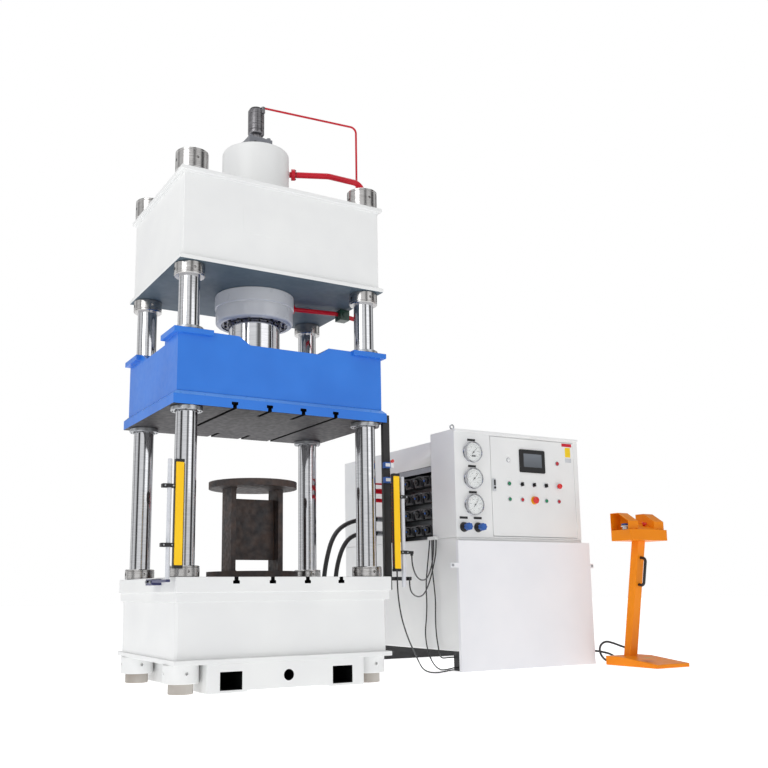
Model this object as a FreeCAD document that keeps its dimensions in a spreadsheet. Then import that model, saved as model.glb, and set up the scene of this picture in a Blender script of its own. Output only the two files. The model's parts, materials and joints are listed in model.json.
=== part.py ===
import FreeCAD, Part
import math
import os
import re
import Sketcher

# A four-column hydraulic press with its power unit and a two-hand console.
# Millimetres. Origin: on the floor under the axis of the main ram.
# +X runs to the power unit, -Y faces the operator, +Z is up.

doc = FreeCAD.newDocument("hydraulic_press")

# ---------------------------------------------------------------- driving dimensions
SIZES = {
    # columns and what is screwed on them
    "column_x": 588, "column_y": 402, "column_r": 62.5, "column_foot_r": 68.5,
    "column_foot_top": 55, "column_top": 3118, "slip": 0.4,
    "nut_r": 98, "foot_nut_low": 56, "foot_nut_high": 156, "top_nut_low": 3000, "top_nut_high": 3124,
    "collar_r": 90, "bed_collar_high": 682, "crown_collar_low": 2350, "tommy_r": 9, "tommy_deep": 18,
    # plinth
    "plinth_x": 486, "plinth_y": 526, "plinth_low": 10, "plinth_high": 156,
    "pad_inner": 250, "centre_pad": 160, "pocket_x": 345, "pocket_half": 64,
    "pocket_low": 16, "pocket_high": 112, "sight_r": 31, "sight_z": 79,
    # bed
    "table_x": 675, "table_y": 545, "table_low": 537, "table_high": 620,
    "apron_x": 667, "apron_y": 530, "apron_low": 485, "bed_box_x": 660, "bed_box_y": 505,
    "bed_flange_x": 673, "bed_flange_y": 543, "bed_flange_low": 156, "bed_flange_high": 182,
    "bed_corner": 16,
    # tee slots in table and platen
    "slot_near": 110, "slot_far": 330, "slot_neck": 12, "slot_head": 20, "slot_lip": 20,
    "slot_deep": 38, "short_slot": 170,
    # crown
    "crown_plate_x": 682, "crown_plate_y": 500, "crown_box_x": 660, "crown_box_y": 478,
    "crown_low": 2425, "crown_plate_top": 2453, "crown_roof_low": 2972, "crown_high": 3000,
    # main cylinder and ram
    "barrel_r": 222.5, "barrel_high": 3424, "bore_r": 176, "bore_high": 3340,
    "flange_r": 256, "flange_low": 2330, "ring_r": 250, "ring_low": 2235, "ring_groove": 8,
    "ring_bevel": 16, "gland_r": 214, "gland_high": 2320, "ram_r": 165, "ram_top": 3130,
    # prefill valve on the cylinder head
    "block_half": 84, "block_high": 3525, "neck_r": 38, "neck_high": 3575,
    "valve_r": 55, "valve_high": 3752, "cap_r": 46, "cap_high": 3769, "banjo_r": 13,
    # slide
    "platen_x": 697, "platen_y": 492, "platen_low": 1575, "platen_high": 1657, "platen_bevel": 25,
    "slide_x": 672, "slide_y": 470, "slide_high": 2014, "trough_z": 1968, "trough_x": 228,
    "trough_edge_x": 297, "trough_front": -235, "trough_back": 112, "trough_back_edge": 212,
    "pad_x_in": 464, "pad_x_out": 701, "pad_y_in": 242, "pad_y_out": 490,
    "pad_low": 1990, "pad_high": 2022, "bush_r": 88, "bush_foot_r": 91,
    "bush_high": 2040, "bush_low": 1550, "bush_body_r": 65.6,
    # stand on the table
    "stand_r": 276, "stand_base_r": 282, "stand_base_high": 660, "stand_top_low": 1172,
    "stand_high": 1212, "stand_leg_in": 142, "stand_leg_out": 174, "stand_leg_y": 75,
    "stand_web_y": 12, "stand_web_low": 732, "stand_web_high": 1108,
    # switch rail, light curtains and their posts
    "rail_left": 708, "rail_right": 758, "rail_front": -424, "rail_back": -396,
    "rail_low": 540, "rail_high": 1640, "switch_front": -456, "switch_low": 1222, "switch_high": 1316,
    "curtain_front": -549, "curtain_back": -513, "left_curtain_in": -642, "left_curtain_out": -692,
    "left_curtain_low": 664, "left_curtain_high": 1255, "right_curtain_in": 702,
    "right_curtain_out": 748, "right_curtain_low": 650, "right_curtain_high": 1250,
    "post_y": -531, "left_post_x": -720, "right_post_x": 775, "arm_low": 596, "arm_high": 618,
    "clamp_front": -546, "clamp_back": -512, "clamp_half": 11, "clamp_high": 1106,
    "left_clamp_low": 788, "right_clamp_low": 766, "cable_boss_low": 757,
    # power unit
    "unit_left": 1411, "unit_right": 2550, "unit_front": -217, "unit_back": 1330,
    "tank_low": 132, "tank_high": 890, "cabinet_back": 68, "cabinet_high": 1622,
    "roof_high": 1640, "roof_lip": 12, "hood_high": 1585,
    "bay_deep": 1760, "bay_back": 655, "bay_high": 1412, "bay_low": 892,
    "gland_bar_low": 884, "gland_bar_high": 906, "gland_bar_wide": 27,
    "valve_first": 116, "valve_pitch": 124, "valve_wide": 96, "valve_low": 926, "valve_step": 118,
    "valve_tall": 74, "valve_left": 1440, "valve_right": 1500, "coil_left": 1416, "coil_r": 24,
    "manifold_left": 1560,
    "sill_left": 1440, "sill_right": 2500, "sill_front": -190, "sill_wide": 90, "sill_rear": 1095,
    "cover_left": 1401, "cover_right": 2595, "cover_front": -243, "cover_back": -237,
    "cover_high": 868, "cover_lip": 6, "ear_out": 66, "ear_z": 700, "ear_half": 16,
    "door_left": 1729, "door_right": 2508, "door_low": 905, "door_high": 1610,
    "door_thick": 18, "door_gap": 3, "cabinet_deep": 240, "hinge_pin_r": 2.5, "hinge_pin_long": 80,
    # control panel
    "gauge_x": 1560, "gauge_r": 73, "dial_r": 64, "gauge_deep": 34, "dial_deep": 26,
    "knob_z": 960, "skirt_r": 34, "grip_r": 26, "grip_start": 34, "grip_end": 74,
    "button_hole_r": 12, "button_stem_r": 11.5, "screen_left": 1986, "screen_right": 2221,
    "screen_low": 1366, "screen_high": 1533, "glass_left": 2020, "glass_right": 2194,
    "glass_low": 1404, "glass_high": 1505, "lock_x": 1745, "lock_z": 1262,
    # console
    "console_left": 2600, "console_right": 2912, "console_front": -810, "console_back": -340,
    "console_step_back": 62, "console_step_front": 26, "post_left": 2720, "post_right": 2790,
    "post_deep": 64, "post_foot": -460, "post_head": -604, "post_high": 868,
    "head_left": 2580, "head_right": 2930, "head_front": -681, "head_back": -485,
    "head_low": 868, "head_ledge": 944, "hood_top": 1066, "hood_inner": 76, "hood_wall": 4,
    "palm_y": -585, "palm_stem_r": 20, "hood_slope_y": -655, "hood_front_y": -560,
    "head_slope_back": -520, "head_slope_top": 1004,
}

sizes = doc.addObject("Spreadsheet::Sheet", "sizes")
for row, (alias, size) in enumerate(SIZES.items(), start=1):
    sizes.set(f"A{row}", alias.replace("_", " "))
    sizes.set(f"B{row}", str(size))
    sizes.setAlias(f"B{row}", alias)
doc.recompute()


def bound(text):
    """Make 'bed_x - 5' an expression that reads those cells of the sheet."""
    return re.sub(r"[a-z][a-z_0-9]*", lambda word: "sizes." + word.group(0), str(text))


def number(text):
    """The present value of such an expression, for what is placed by hand."""
    return float(sizes.evalExpression(bound(text)))


# ---------------------------------------------------------------- small building steps
LETTERS = ("x", "y", "z")
AXIS_TURN = {
    "x": FreeCAD.Rotation(FreeCAD.Vector(0, 1, 0), 90),
    "y": FreeCAD.Rotation(FreeCAD.Vector(1, 0, 0), -90),
    "z": FreeCAD.Rotation(),
}


def block(name, x, y, z):
    """A block between a low and a high limit on each axis."""
    made = doc.addObject("Part::Box", name)
    for side, letter, (low, high) in zip(("Length", "Width", "Height"), LETTERS, (x, y, z)):
        made.setExpression(side, bound(f"({high}) - ({low})"))
        made.setExpression("Placement.Base." + letter, bound(low))
    return made


def rod(name, radius, x, y, z):
    """A round bar along the axis whose place is a (low, high) pair."""
    places = {"x": x, "y": y, "z": z}
    along = next(letter for letter in LETTERS if isinstance(places[letter], tuple))
    low, high = places[along]
    made = doc.addObject("Part::Cylinder", name)
    made.Placement = FreeCAD.Placement(FreeCAD.Vector(), AXIS_TURN[along])
    made.setExpression("Radius", bound(radius))
    made.setExpression("Height", bound(f"({high}) - ({low})"))
    for letter in LETTERS:
        place = low if letter == along else places[letter]
        made.setExpression("Placement.Base." + letter, bound(place))
    return made


def taper(name, foot_radius, top_radius, x, y, z):
    """A cone frustum along Z, or along Y where y is the pair."""
    places = {"x": x, "y": y, "z": z}
    along = next(letter for letter in LETTERS if isinstance(places[letter], tuple))
    low, high = places[along]
    made = doc.addObject("Part::Cone", name)
    made.Placement = FreeCAD.Placement(FreeCAD.Vector(), AXIS_TURN[along])
    made.setExpression("Radius1", bound(foot_radius))
    made.setExpression("Radius2", bound(top_radius))
    made.setExpression("Height", bound(f"({high}) - ({low})"))
    for letter in LETTERS:
        place = low if letter == along else places[letter]
        made.setExpression("Placement.Base." + letter, bound(place))
    return made


def fuse(name, *parts):
    made = doc.addObject("Part::MultiFuse", name)
    made.Shapes = list(parts)
    made.Refine = True
    return made


def group(name, *parts):
    """Separate solids that share one node."""
    made = doc.addObject("Part::Compound", name)
    made.Links = list(parts)
    return made


def cut(name, base, *tools):
    tool = tools[0] if len(tools) == 1 else fuse(name + "_tools", *tools)
    made = doc.addObject("Part::Cut", name)
    made.Base = base
    made.Tool = tool
    made.Refine = True
    return made


def mirror(name, source, normal):
    made = doc.addObject("Part::Mirroring", name)
    made.Source = source
    made.Normal = FreeCAD.Vector(*normal)
    return made


def pair(name, source, normal=(1, 0, 0)):
    """The piece and its mirror image."""
    return group(name, source, mirror(name + "_twin", source, normal))


def at_corners(name, source):
    """The piece in all four corners of the press."""
    return pair(name, pair(name + "_side", source), (0, 1, 0))


def new_body(name):
    return doc.addObject("PartDesign::Body", name)


def outline(body, plane, points, away="0"):
    """A closed outline whose every corner is held by cells of the sheet."""
    sketch = body.newObject("Sketcher::SketchObject", body.Name + "_sketch")
    support = next(item for item in body.Origin.OriginFeatures if item.Role == plane)
    sketch.AttachmentSupport = [(support, "")]
    sketch.MapMode = "FlatFace"
    sketch.setExpression("AttachmentOffset.Base.z", bound(away))
    corners = [FreeCAD.Vector(number(across), number(up), 0) for across, up in points]
    for start, end in zip(corners, corners[1:] + corners[:1]):
        sketch.addGeometry(Part.LineSegment(start, end), False)
    count = len(corners)
    for line in range(count):
        sketch.addConstraint(Sketcher.Constraint("Coincident", line, 2, (line + 1) % count, 1))
    for line, (across, up) in enumerate(points):
        held = (("DistanceX", across, corners[line].x, -2), ("DistanceY", up, corners[line].y, -1))
        for kind, text, size, axis in held:
            if abs(size) < 1e-9:
                sketch.addConstraint(Sketcher.Constraint("PointOnObject", line, 1, axis))
                continue
            index = sketch.addConstraint(Sketcher.Constraint(kind, -1, 1, line, 1, size))
            sketch.setExpression(f"Constraints[{index}]", bound(text))
    return sketch


def pad(body, sketch, length, both_ways=True):
    made = body.newObject("PartDesign::Pad", body.Name + "_pad")
    made.Profile = sketch
    made.Midplane = both_ways
    made.setExpression("Length", bound(length))
    return made


def pocket(body, sketch, length, both_ways=True):
    made = body.newObject("PartDesign::Pocket", body.Name + "_pocket")
    made.Profile = sketch
    made.Midplane = both_ways
    made.setExpression("Length", bound(length))
    return made


def turned(body, sketch):
    """A full turn about the body's Z axis."""
    made = body.newObject("PartDesign::Revolution", body.Name + "_turn")
    made.Profile = sketch
    made.ReferenceAxis = (sketch, ["V_Axis"])
    made.Angle = 360
    return made


nodes = {}


def node(made, name=None):
    """Names a finished sub-part: the label is also its file's name."""
    made.Label = name or made.Name
    nodes[made.Label] = made
    return made


# ---------------------------------------------------------------- columns, nuts and collars
def ring_nut(name, radius, low, high, hole_z):
    """A turned ring on the column with four radial tommy-bar holes."""
    body = new_body(name)
    profile = outline(body, "XZ_Plane", [
        ("column_r + slip", low), (f"{radius} - 4", low), (radius, f"{low} + 4"),
        (radius, f"{high} - 4"), (f"{radius} - 4", high), ("column_r + slip", high)])
    turned(body, profile)
    doc.recompute()
    drill = body.newObject("Sketcher::SketchObject", name + "_drill")
    support = next(item for item in body.Origin.OriginFeatures if item.Role == "YZ_Plane")
    drill.AttachmentSupport = [(support, "")]
    drill.MapMode = "FlatFace"
    drill.setExpression("AttachmentOffset.Base.z", bound(f"{radius} + 2"))
    centre = FreeCAD.Vector(0, number(hole_z), 0)
    drill.addGeometry(Part.Circle(centre, FreeCAD.Vector(0, 0, 1), number("tommy_r")), False)
    drill.addConstraint(Sketcher.Constraint("PointOnObject", 0, 3, -2))
    height = drill.addConstraint(Sketcher.Constraint("DistanceY", -1, 1, 0, 3, centre.y))
    drill.setExpression(f"Constraints[{height}]", bound(hole_z))
    size = drill.addConstraint(Sketcher.Constraint("Radius", 0, number("tommy_r")))
    drill.setExpression(f"Constraints[{size}]", bound("tommy_r"))
    hole = pocket(body, drill, "tommy_deep + 2", both_ways=False)
    doc.recompute()
    holes = body.newObject("PartDesign::PolarPattern", name + "_holes")
    holes.Originals = [hole]
    holes.Axis = (profile, ["V_Axis"])
    holes.Angle = 360
    holes.Occurrences = 4
    body.Tip = holes
    body.setExpression("Placement.Base.x", bound("column_x"))
    body.setExpression("Placement.Base.y", bound("-column_y"))
    return body


def build_columns():
    shaft = rod("column_shaft", "column_r", "column_x", "-column_y", ("column_foot_top", "column_top"))
    foot = rod("column_foot", "column_foot_r", "column_x", "-column_y", ("0", "column_foot_top"))
    node(at_corners("columns", fuse("column", shaft, foot)))
    foot_nut = ring_nut("foot_nut", "nut_r", "foot_nut_low", "foot_nut_high", "foot_nut_low + 55")
    top_nut = ring_nut("top_nut", "nut_r", "top_nut_low", "top_nut_high", "top_nut_low + 62")
    node(at_corners("column_nuts", group("nut_set", foot_nut, top_nut)))
    bed_collar = ring_nut("bed_collar", "collar_r", "table_high", "bed_collar_high", "table_high + 31")
    crown_collar = ring_nut("crown_collar", "collar_r", "crown_collar_low", "crown_low", "crown_low - 38")
    node(at_corners("column_collars", group("collar_set", bed_collar, crown_collar)))


def column_bores(name, radius, low, high):
    return at_corners(name, rod(name + "_one", radius, "column_x", "-column_y", (low, high)))


# ---------------------------------------------------------------- plinth and bed
def build_plinth():
    base = block("plinth_box", ("-plinth_x", "plinth_x"), ("-plinth_y", "plinth_y"),
                 ("plinth_low", "plinth_high"))
    pads = pair("plinth_pads", block("plinth_pad", ("pad_inner", "plinth_x"),
                                     ("-plinth_y", "plinth_y"), ("0", "plinth_low")))
    centre = block("plinth_centre", ("-centre_pad", "centre_pad"), ("-centre_pad", "centre_pad"),
                   ("0", "plinth_low"))
    forks = pair("fork_pockets", block(
        "fork_pocket", ("pocket_x - pocket_half", "pocket_x + pocket_half"),
        ("-plinth_y - 5", "plinth_y + 5"), ("pocket_low", "pocket_high")))
    sight = rod("sight_hole", "sight_r", "0", ("-plinth_y - 5", "plinth_y + 5"), "sight_z")
    node(cut("plinth", fuse("plinth_body", base, pads, centre), forks, sight))


def tee_slot(name, x, y, face, into):
    """Neck and head of one slot; into is -1 or +1, the way it goes from the face."""
    ends = (f"{face} + {into} * slot_deep", f"{face} - {into} * 2")
    neck = ends if into < 0 else ends[::-1]
    lips = (f"{face} + {into} * slot_deep", f"{face} + {into} * slot_lip")
    head = lips if into < 0 else lips[::-1]
    return fuse(name, block(name + "_neck", (f"{x} - slot_neck", f"{x} + slot_neck"), y, neck),
                block(name + "_head", (f"{x} - slot_head", f"{x} + slot_head"), y, head))


def build_bed():
    table = block("bed_table", ("-table_x", "table_x"), ("-table_y", "table_y"),
                  ("table_low", "table_high"))
    apron = block("bed_apron", ("-apron_x", "apron_x"), ("-apron_y", "apron_y"),
                  ("apron_low", "table_low"))
    flange = block("bed_flange", ("-bed_flange_x", "bed_flange_x"),
                   ("-bed_flange_y", "bed_flange_y"), ("bed_flange_low", "bed_flange_high"))
    core = new_body("bed_box")
    side, front = "bed_box_x", "bed_box_y"
    pad(core, outline(core, "XY_Plane", [
        (f"-{side} + bed_corner", f"-{front}"), (f"{side} - bed_corner", f"-{front}"),
        (side, f"-{front} + bed_corner"), (side, f"{front} - bed_corner"),
        (f"{side} - bed_corner", front), (f"-{side} + bed_corner", front),
        (f"-{side}", f"{front} - bed_corner"), (f"-{side}", f"-{front} + bed_corner")],
        away="bed_flange_high"), "apron_low - bed_flange_high", both_ways=False)
    whole = fuse("bed_body", table, apron, core, flange)
    through = ("-table_y - 5", "table_y + 5")
    slots = [pair("bed_slot_" + place, tee_slot("bed_tee_" + place, "slot_" + place, through,
                                                "table_high", -1)) for place in ("near", "far")]
    bores = column_bores("bed_bores", "column_r + slip", "bed_flange_low - 5", "table_high + 5")
    node(cut("bed", whole, bores, *slots))


# ---------------------------------------------------------------- crown and main cylinder
def build_crown():
    floor = block("crown_floor", ("-crown_plate_x", "crown_plate_x"),
                  ("-crown_plate_y", "crown_plate_y"), ("crown_low", "crown_plate_top"))
    walls = block("crown_walls", ("-crown_box_x", "crown_box_x"), ("-crown_box_y", "crown_box_y"),
                  ("crown_plate_top", "crown_roof_low"))
    roof = block("crown_roof", ("-crown_plate_x", "crown_plate_x"),
                 ("-crown_plate_y", "crown_plate_y"), ("crown_roof_low", "crown_high"))
    bores = column_bores("crown_bores", "column_r + slip", "crown_low - 5", "crown_high + 5")
    seat = rod("crown_seat", "barrel_r + slip", "0", "0", ("crown_low - 5", "crown_high + 5"))
    node(cut("crown", fuse("crown_body", floor, walls, roof), bores, seat))


def build_cylinder():
    body = new_body("main_cylinder")
    groove = "flange_low + ring_groove"
    turned(body, outline(body, "XZ_Plane", [
        ("gland_r + 0.5", "ring_low"), ("ring_r - ring_bevel", "ring_low"),
        ("ring_r", "ring_low + 2 * ring_bevel"), ("ring_r", "flange_low"),
        ("ring_r - 6", "flange_low"), ("ring_r - 6", groove), ("flange_r", groove),
        ("flange_r", "crown_low"), ("barrel_r", "crown_low"), ("barrel_r", "barrel_high - 8"),
        ("barrel_r - 8", "barrel_high"), ("0", "barrel_high"), ("0", "bore_high"),
        ("bore_r", "bore_high"), ("bore_r", "gland_high"), ("gland_r + 0.5", "gland_high")]))
    node(body)
    gland = new_body("gland_ring")
    turned(gland, outline(gland, "XZ_Plane", [
        ("ram_r + slip", "ring_low + 6"), ("gland_r - 20", "ring_low + 6"),
        ("gland_r", "ring_low + 24"), ("gland_r", "gland_high"), ("ram_r + slip", "gland_high")]))
    node(gland)


def build_prefill():
    base = block("prefill_plate", ("-block_half", "block_half"), ("-block_half", "block_half"),
                 ("barrel_high", "block_high"))
    lugs = at_corners("prefill_bolts", rod("prefill_bolt", "14", "block_half - 20",
                                           "-block_half + 20", ("block_high", "block_high + 14")))
    node(fuse("prefill_block", base, lugs))
    neck = taper("valve_neck", "neck_r + 10", "neck_r", "0", "0", ("block_high", "neck_high"))
    waist = rod("valve_waist", "valve_r", "0", "0", ("neck_high", "valve_high"))
    cap = rod("valve_cap", "cap_r", "0", "0", ("valve_high", "cap_high"))
    banjo = rod("valve_banjo", "banjo_r", "28", "-52", ("valve_high - 40", "cap_high + 4"))
    plug = rod("valve_plug", "12", ("0", "valve_r + 34"), "0", "block_high + 34")
    node(fuse("prefill_valve", neck, waist, cap, banjo, plug))


# ---------------------------------------------------------------- pipes, hoses and cables
def rounded_wire(points, bend=None):
    """Straight runs joined by tangent arcs, and the arcs' radii.

    Without a bend radius each arc is as large as its two runs allow."""
    places = [FreeCAD.Vector(*point) for point in points]
    edges, radii = [], []
    reached = places[0]
    for before, corner, after in zip(places, places[1:], places[2:]):
        coming = (corner - before).normalize()
        going = (after - corner).normalize()
        half_turn = coming.getAngle(going) / 2
        shorter = min((corner - before).Length, (after - corner).Length)
        reach = bend * math.tan(half_turn) if bend else 0.45 * shorter
        radius = reach / math.tan(half_turn)
        start = corner - coming * reach
        end = corner + going * reach
        inward = (going - coming).normalize()
        middle = corner + inward * radius * (1 / math.cos(half_turn) - 1)
        edges.append(Part.LineSegment(reached, start).toShape())
        edges.append(Part.Arc(start, middle, end).toShape())
        radii.append(radius)
        reached = end
    edges.append(Part.LineSegment(reached, places[-1]).toShape())
    return Part.Wire(edges), radii


def tube(name, points, diameter, bend=None):
    """A round tube along the route."""
    path, radii = rounded_wire(points, bend)
    start = FreeCAD.Vector(*points[0])
    ahead = FreeCAD.Vector(*points[1]) - start
    ring = Part.Wire(Part.makeCircle(diameter / 2, start, ahead))
    made = doc.addObject("Part::Feature", name)
    made.Shape = path.makePipeShell([ring], True, False)
    section = math.pi * diameter ** 2 / 4
    print(name, "length", round(path.Length), "volume ratio",
          round(made.Shape.Volume / (section * path.Length), 4), "radii",
          [round(radius) for radius in radii])
    return made


PILOT_TUBE = 14
PIPE = 40
SMALL_PIPE = 30
HOSE = 33
CABLE = 9
CONSOLE_CABLE = 15

PILOT_ROUTE = [(28, -52, 3762), (716, -115, 3762), (716, -115, 2760), (870, 10, 2500),
               (870, 10, 1350), (1235, 720, 1350), (1411, 720, 1350)]
UPPER_ROUTE = [(196, -112, 3291), (440, -212, 3293), (706, -212, 3293), (706, -212, 2740),
               (845, -20, 2480), (845, -20, 1290), (1205, 700, 1290), (1411, 700, 1290)]
LOWER_ROUTE = [(248, 0, 2392), (570, -48, 2392), (740, -50, 2372), (803, 0, 2330),
               (803, 0, 1220), (1172, 705, 1220), (1411, 705, 1220)]

HOSE_LEFT_ROUTE = [
    (1411, 700, 1076), (1290, 700, 1076), (1160, 690, 1064), (1040, 655, 1030), (932, 600, 972),
    (858, 555, 890), (806, 515, 790), (768, 485, 690), (746, 465, 580), (738, 455, 460),
    (738, 455, 345)]
HOSE_RIGHT_ROUTE = [
    (1411, 700, 968), (1290, 700, 968), (1164, 692, 960), (1066, 655, 926), (985, 605, 860),
    (925, 560, 775), (882, 525, 680), (850, 486, 575), (836, 455, 460), (836, 455, 345)]

UPPER_LOOP_ROUTE = [
    (836, -530, 757), (836, -530, 705), (866, -505, 655), (920, -450, 622), (988, -380, 605),
    (1062, -302, 600), (1140, -222, 604), (1212, -148, 624), (1278, -84, 666), (1334, -30, 730),
    (1376, 12, 806), (1398, 44, 884)]
LOWER_LOOP_ROUTE = [
    (816, -530, 596), (816, -530, 552), (842, -512, 520), (896, -466, 503), (964, -400, 496),
    (1036, -328, 499), (1108, -256, 515), (1180, -184, 548), (1246, -122, 600), (1304, -72, 668),
    (1352, -34, 744), (1384, -8, 814), (1399, 12, 884)]
SENSOR_ROUTE = [
    (726, -531, 650), (726, -531, 560), (736, -528, 470), (765, -508, 378), (812, -476, 296),
    (868, -436, 222), (930, -392, 158), (990, -346, 98), (1048, -300, 48), (1120, -258, 18),
    (1212, -218, 6), (1300, -184, 7), (1376, -170, 14), (1440, -170, 14)]
SIDE_ROUTE = [
    (1395, 84, 884), (1391, 98, 780), (1389, 120, 670), (1388, 136, 560), (1388, 128, 450),
    (1389, 140, 345), (1388, 160, 240), (1389, 142, 140), (1388, 96, 64), (1386, 40, 22),
    (1376, -24, 7), (1360, -84, 8), (1372, -134, 16), (1402, -144, 24), (1440, -144, 24)]
DROP_ROUTE = [
    (1398, 62, 884), (1396, 62, 775), (1393, 58, 670), (1390, 36, 560), (1389, 22, 450),
    (1391, 34, 340), (1390, 26, 230), (1386, 0, 150), (1366, -42, 100), (1356, -86, 84),
    (1386, -112, 90), (1440, -112, 90)]
CONSOLE_ROUTE = [
    (2500, -150, 92), (2570, -150, 92), (2644, -168, 88), (2704, -196, 80), (2750, -240, 64),
    (2748, -292, 40), (2710, -318, 20), (2662, -310, 14), (2624, -288, 40), (2614, -266, 88),
    (2638, -256, 136), (2688, -262, 158), (2733, -290, 144), (2755, -346, 123), (2755, -405.8, 112)]

CORDS = {
    "hose_left": (HOSE_LEFT_ROUTE, HOSE), "hose_right": (HOSE_RIGHT_ROUTE, HOSE),
    "curtain_cable_upper": (UPPER_LOOP_ROUTE, CABLE), "curtain_cable_lower": (LOWER_LOOP_ROUTE, CABLE),
    "sensor_cable": (SENSOR_ROUTE, CABLE), "valve_cable_rear": (SIDE_ROUTE, CABLE),
    "valve_cable_front": (DROP_ROUTE, CABLE), "console_cable": (CONSOLE_ROUTE, CONSOLE_CABLE),
}


def collar_on(name, radius, place, along, length):
    """A round flange or fitting centred on a point of a pipe."""
    made = doc.addObject("Part::Cylinder", name)
    made.Radius = radius
    made.Height = length
    heading = FreeCAD.Vector(*along).normalize()
    made.Placement = FreeCAD.Placement(FreeCAD.Vector(*place) - heading * (length / 2),
                                       FreeCAD.Rotation(FreeCAD.Vector(0, 0, 1), heading))
    return made


def build_pipes():
    run = tube("pilot_run", PILOT_ROUTE, PILOT_TUBE, bend=42)
    ends = collar_on("pilot_end", 14, (1404, 720, 1350), (1, 0, 0), 14)
    node(cut("pilot_tube", fuse("pilot_whole", run, ends), nodes["prefill_valve"]))
    run = tube("upper_run", UPPER_ROUTE, PIPE, bend=70)
    flange = collar_on("upper_flange", 38, (220, -121.3, 3291.2), (244, -100, 2), 26)
    ends = collar_on("upper_end", 34, (1400, 700, 1290), (1, 0, 0), 22)
    barrel = rod("pipe_seat", "barrel_r + 0.3", "0", "0", ("crown_high", "barrel_high + 5"))
    node(cut("upper_pipe", fuse("upper_whole", run, flange, ends), barrel))
    run = tube("lower_run", LOWER_ROUTE, SMALL_PIPE, bend=55)
    flange = collar_on("lower_flange", 30, (272, -3.4, 2392), (322, -48, 0), 24)
    check_block = block("check_valve", ("590", "662"), ("-92", "-16"), ("2344", "2416"))
    ends = collar_on("lower_end", 26, (1400, 705, 1220), (1, 0, 0), 22)
    seat = rod("lower_seat", "flange_r + 0.3", "0", "0", ("ring_low", "crown_low"))
    node(cut("lower_pipe", fuse("lower_whole", run, flange, check_block, ends), seat))
    for name, (route, diameter) in CORDS.items():
        node(tube(name, route, diameter))


def build_ports():
    """Where the two hoses go into the bed, and their fittings at the power unit."""
    rail = block("port_rail", ("bed_box_x", "882"), ("415", "495"), ("250", "320"))
    caps = [rod("port_cap_" + str(place), "26", str(place), "455", ("320", "345")) for place in (738, 836)]
    node(fuse("bed_port_block", rail, *caps))


# ---------------------------------------------------------------- slide and ram
def build_slide():
    body = new_body("slide_block")
    pad(body, outline(body, "XZ_Plane", [
        ("-slide_x", "platen_high"), ("slide_x", "platen_high"), ("slide_x", "slide_high"),
        ("trough_edge_x", "slide_high"), ("trough_x", "trough_z"), ("-trough_x", "trough_z"),
        ("-trough_edge_x", "slide_high"), ("-slide_x", "slide_high")]), "2 * slide_y")
    doc.recompute()
    full = body.Shape.Volume
    pocket(body, outline(body, "YZ_Plane", [
        ("trough_front", "slide_high + 5"), ("trough_front", "trough_z"), ("trough_back", "trough_z"),
        ("trough_back_edge", "slide_high"), ("trough_back_edge", "slide_high + 5")]),
        "2 * slide_x + 10")
    doc.recompute()
    print("slide trough cut", round(full - body.Shape.Volume))
    corner_pads = at_corners("slide_pads", block(
        "slide_pad", ("pad_x_in", "pad_x_out"), ("-pad_y_out", "-pad_y_in"), ("pad_low", "pad_high")))
    bores = column_bores("slide_bores", "bush_body_r + slip", "platen_high - 5", "pad_high + 5")
    node(cut("slide_body", fuse("slide_whole", body, corner_pads), bores))

    plate = new_body("platen_plate")
    low, high, bevel = "platen_low", "platen_high", "platen_bevel"
    pad(plate, outline(plate, "XZ_Plane", [
        ("-platen_x", low), ("platen_x", low), ("platen_x", f"{high} - {bevel}"),
        (f"platen_x - {bevel}", high), (f"-platen_x + {bevel}", high),
        ("-platen_x", f"{high} - {bevel}")]), "2 * platen_y")
    doc.recompute()
    edge = outline(plate, "YZ_Plane", [
        ("-platen_y - 2", f"{high} - {bevel} - 2"), (f"-platen_y + {bevel} + 2", f"{high} + 2"),
        ("-platen_y - 2", f"{high} + 2")])
    front_bevel = pocket(plate, edge, "2 * platen_x + 10")
    doc.recompute()
    both = plate.newObject("PartDesign::Mirrored", "platen_bevels")
    both.Originals = [front_bevel]
    both.MirrorPlane = (edge, ["V_Axis"])
    plate.Tip = both
    through = ("-platen_y - 5", "platen_y + 5")
    short = ("-platen_y - 5", "-platen_y + short_slot")
    far = pair("platen_far", tee_slot("platen_tee_far", "slot_far", through, low, 1))
    near = at_corners("platen_near", tee_slot("platen_tee_near", "slot_near", short, low, 1))
    bores = column_bores("platen_bores", "bush_body_r + slip", "platen_low - 5", "platen_high + 5")
    node(cut("slide_platen", plate, far, near, bores))

    bush = new_body("guide_bush")
    hole = "column_r + slip"
    turned(bush, outline(bush, "XZ_Plane", [
        (hole, "bush_low"), ("bush_foot_r - 4", "bush_low"), ("bush_foot_r", "bush_low + 4"),
        ("bush_foot_r", "platen_low"), ("bush_body_r", "platen_low"), ("bush_body_r", "pad_high"),
        ("bush_r", "pad_high"), ("bush_r", "bush_high - 4"), ("bush_r - 4", "bush_high"),
        (hole, "bush_high")]))
    bush.setExpression("Placement.Base.x", bound("column_x"))
    bush.setExpression("Placement.Base.y", bound("-column_y"))
    node(at_corners("slide_bushes", bush))

    ram = new_body("main_ram")
    turned(ram, outline(ram, "XZ_Plane", [
        ("0", "trough_z"), ("ram_r + 45", "trough_z"), ("ram_r + 45", "trough_z + 26"),
        ("ram_r", "trough_z + 26"), ("ram_r", "ram_top - 10"), ("ram_r - 10", "ram_top"),
        ("0", "ram_top")]))
    node(ram)


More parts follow.
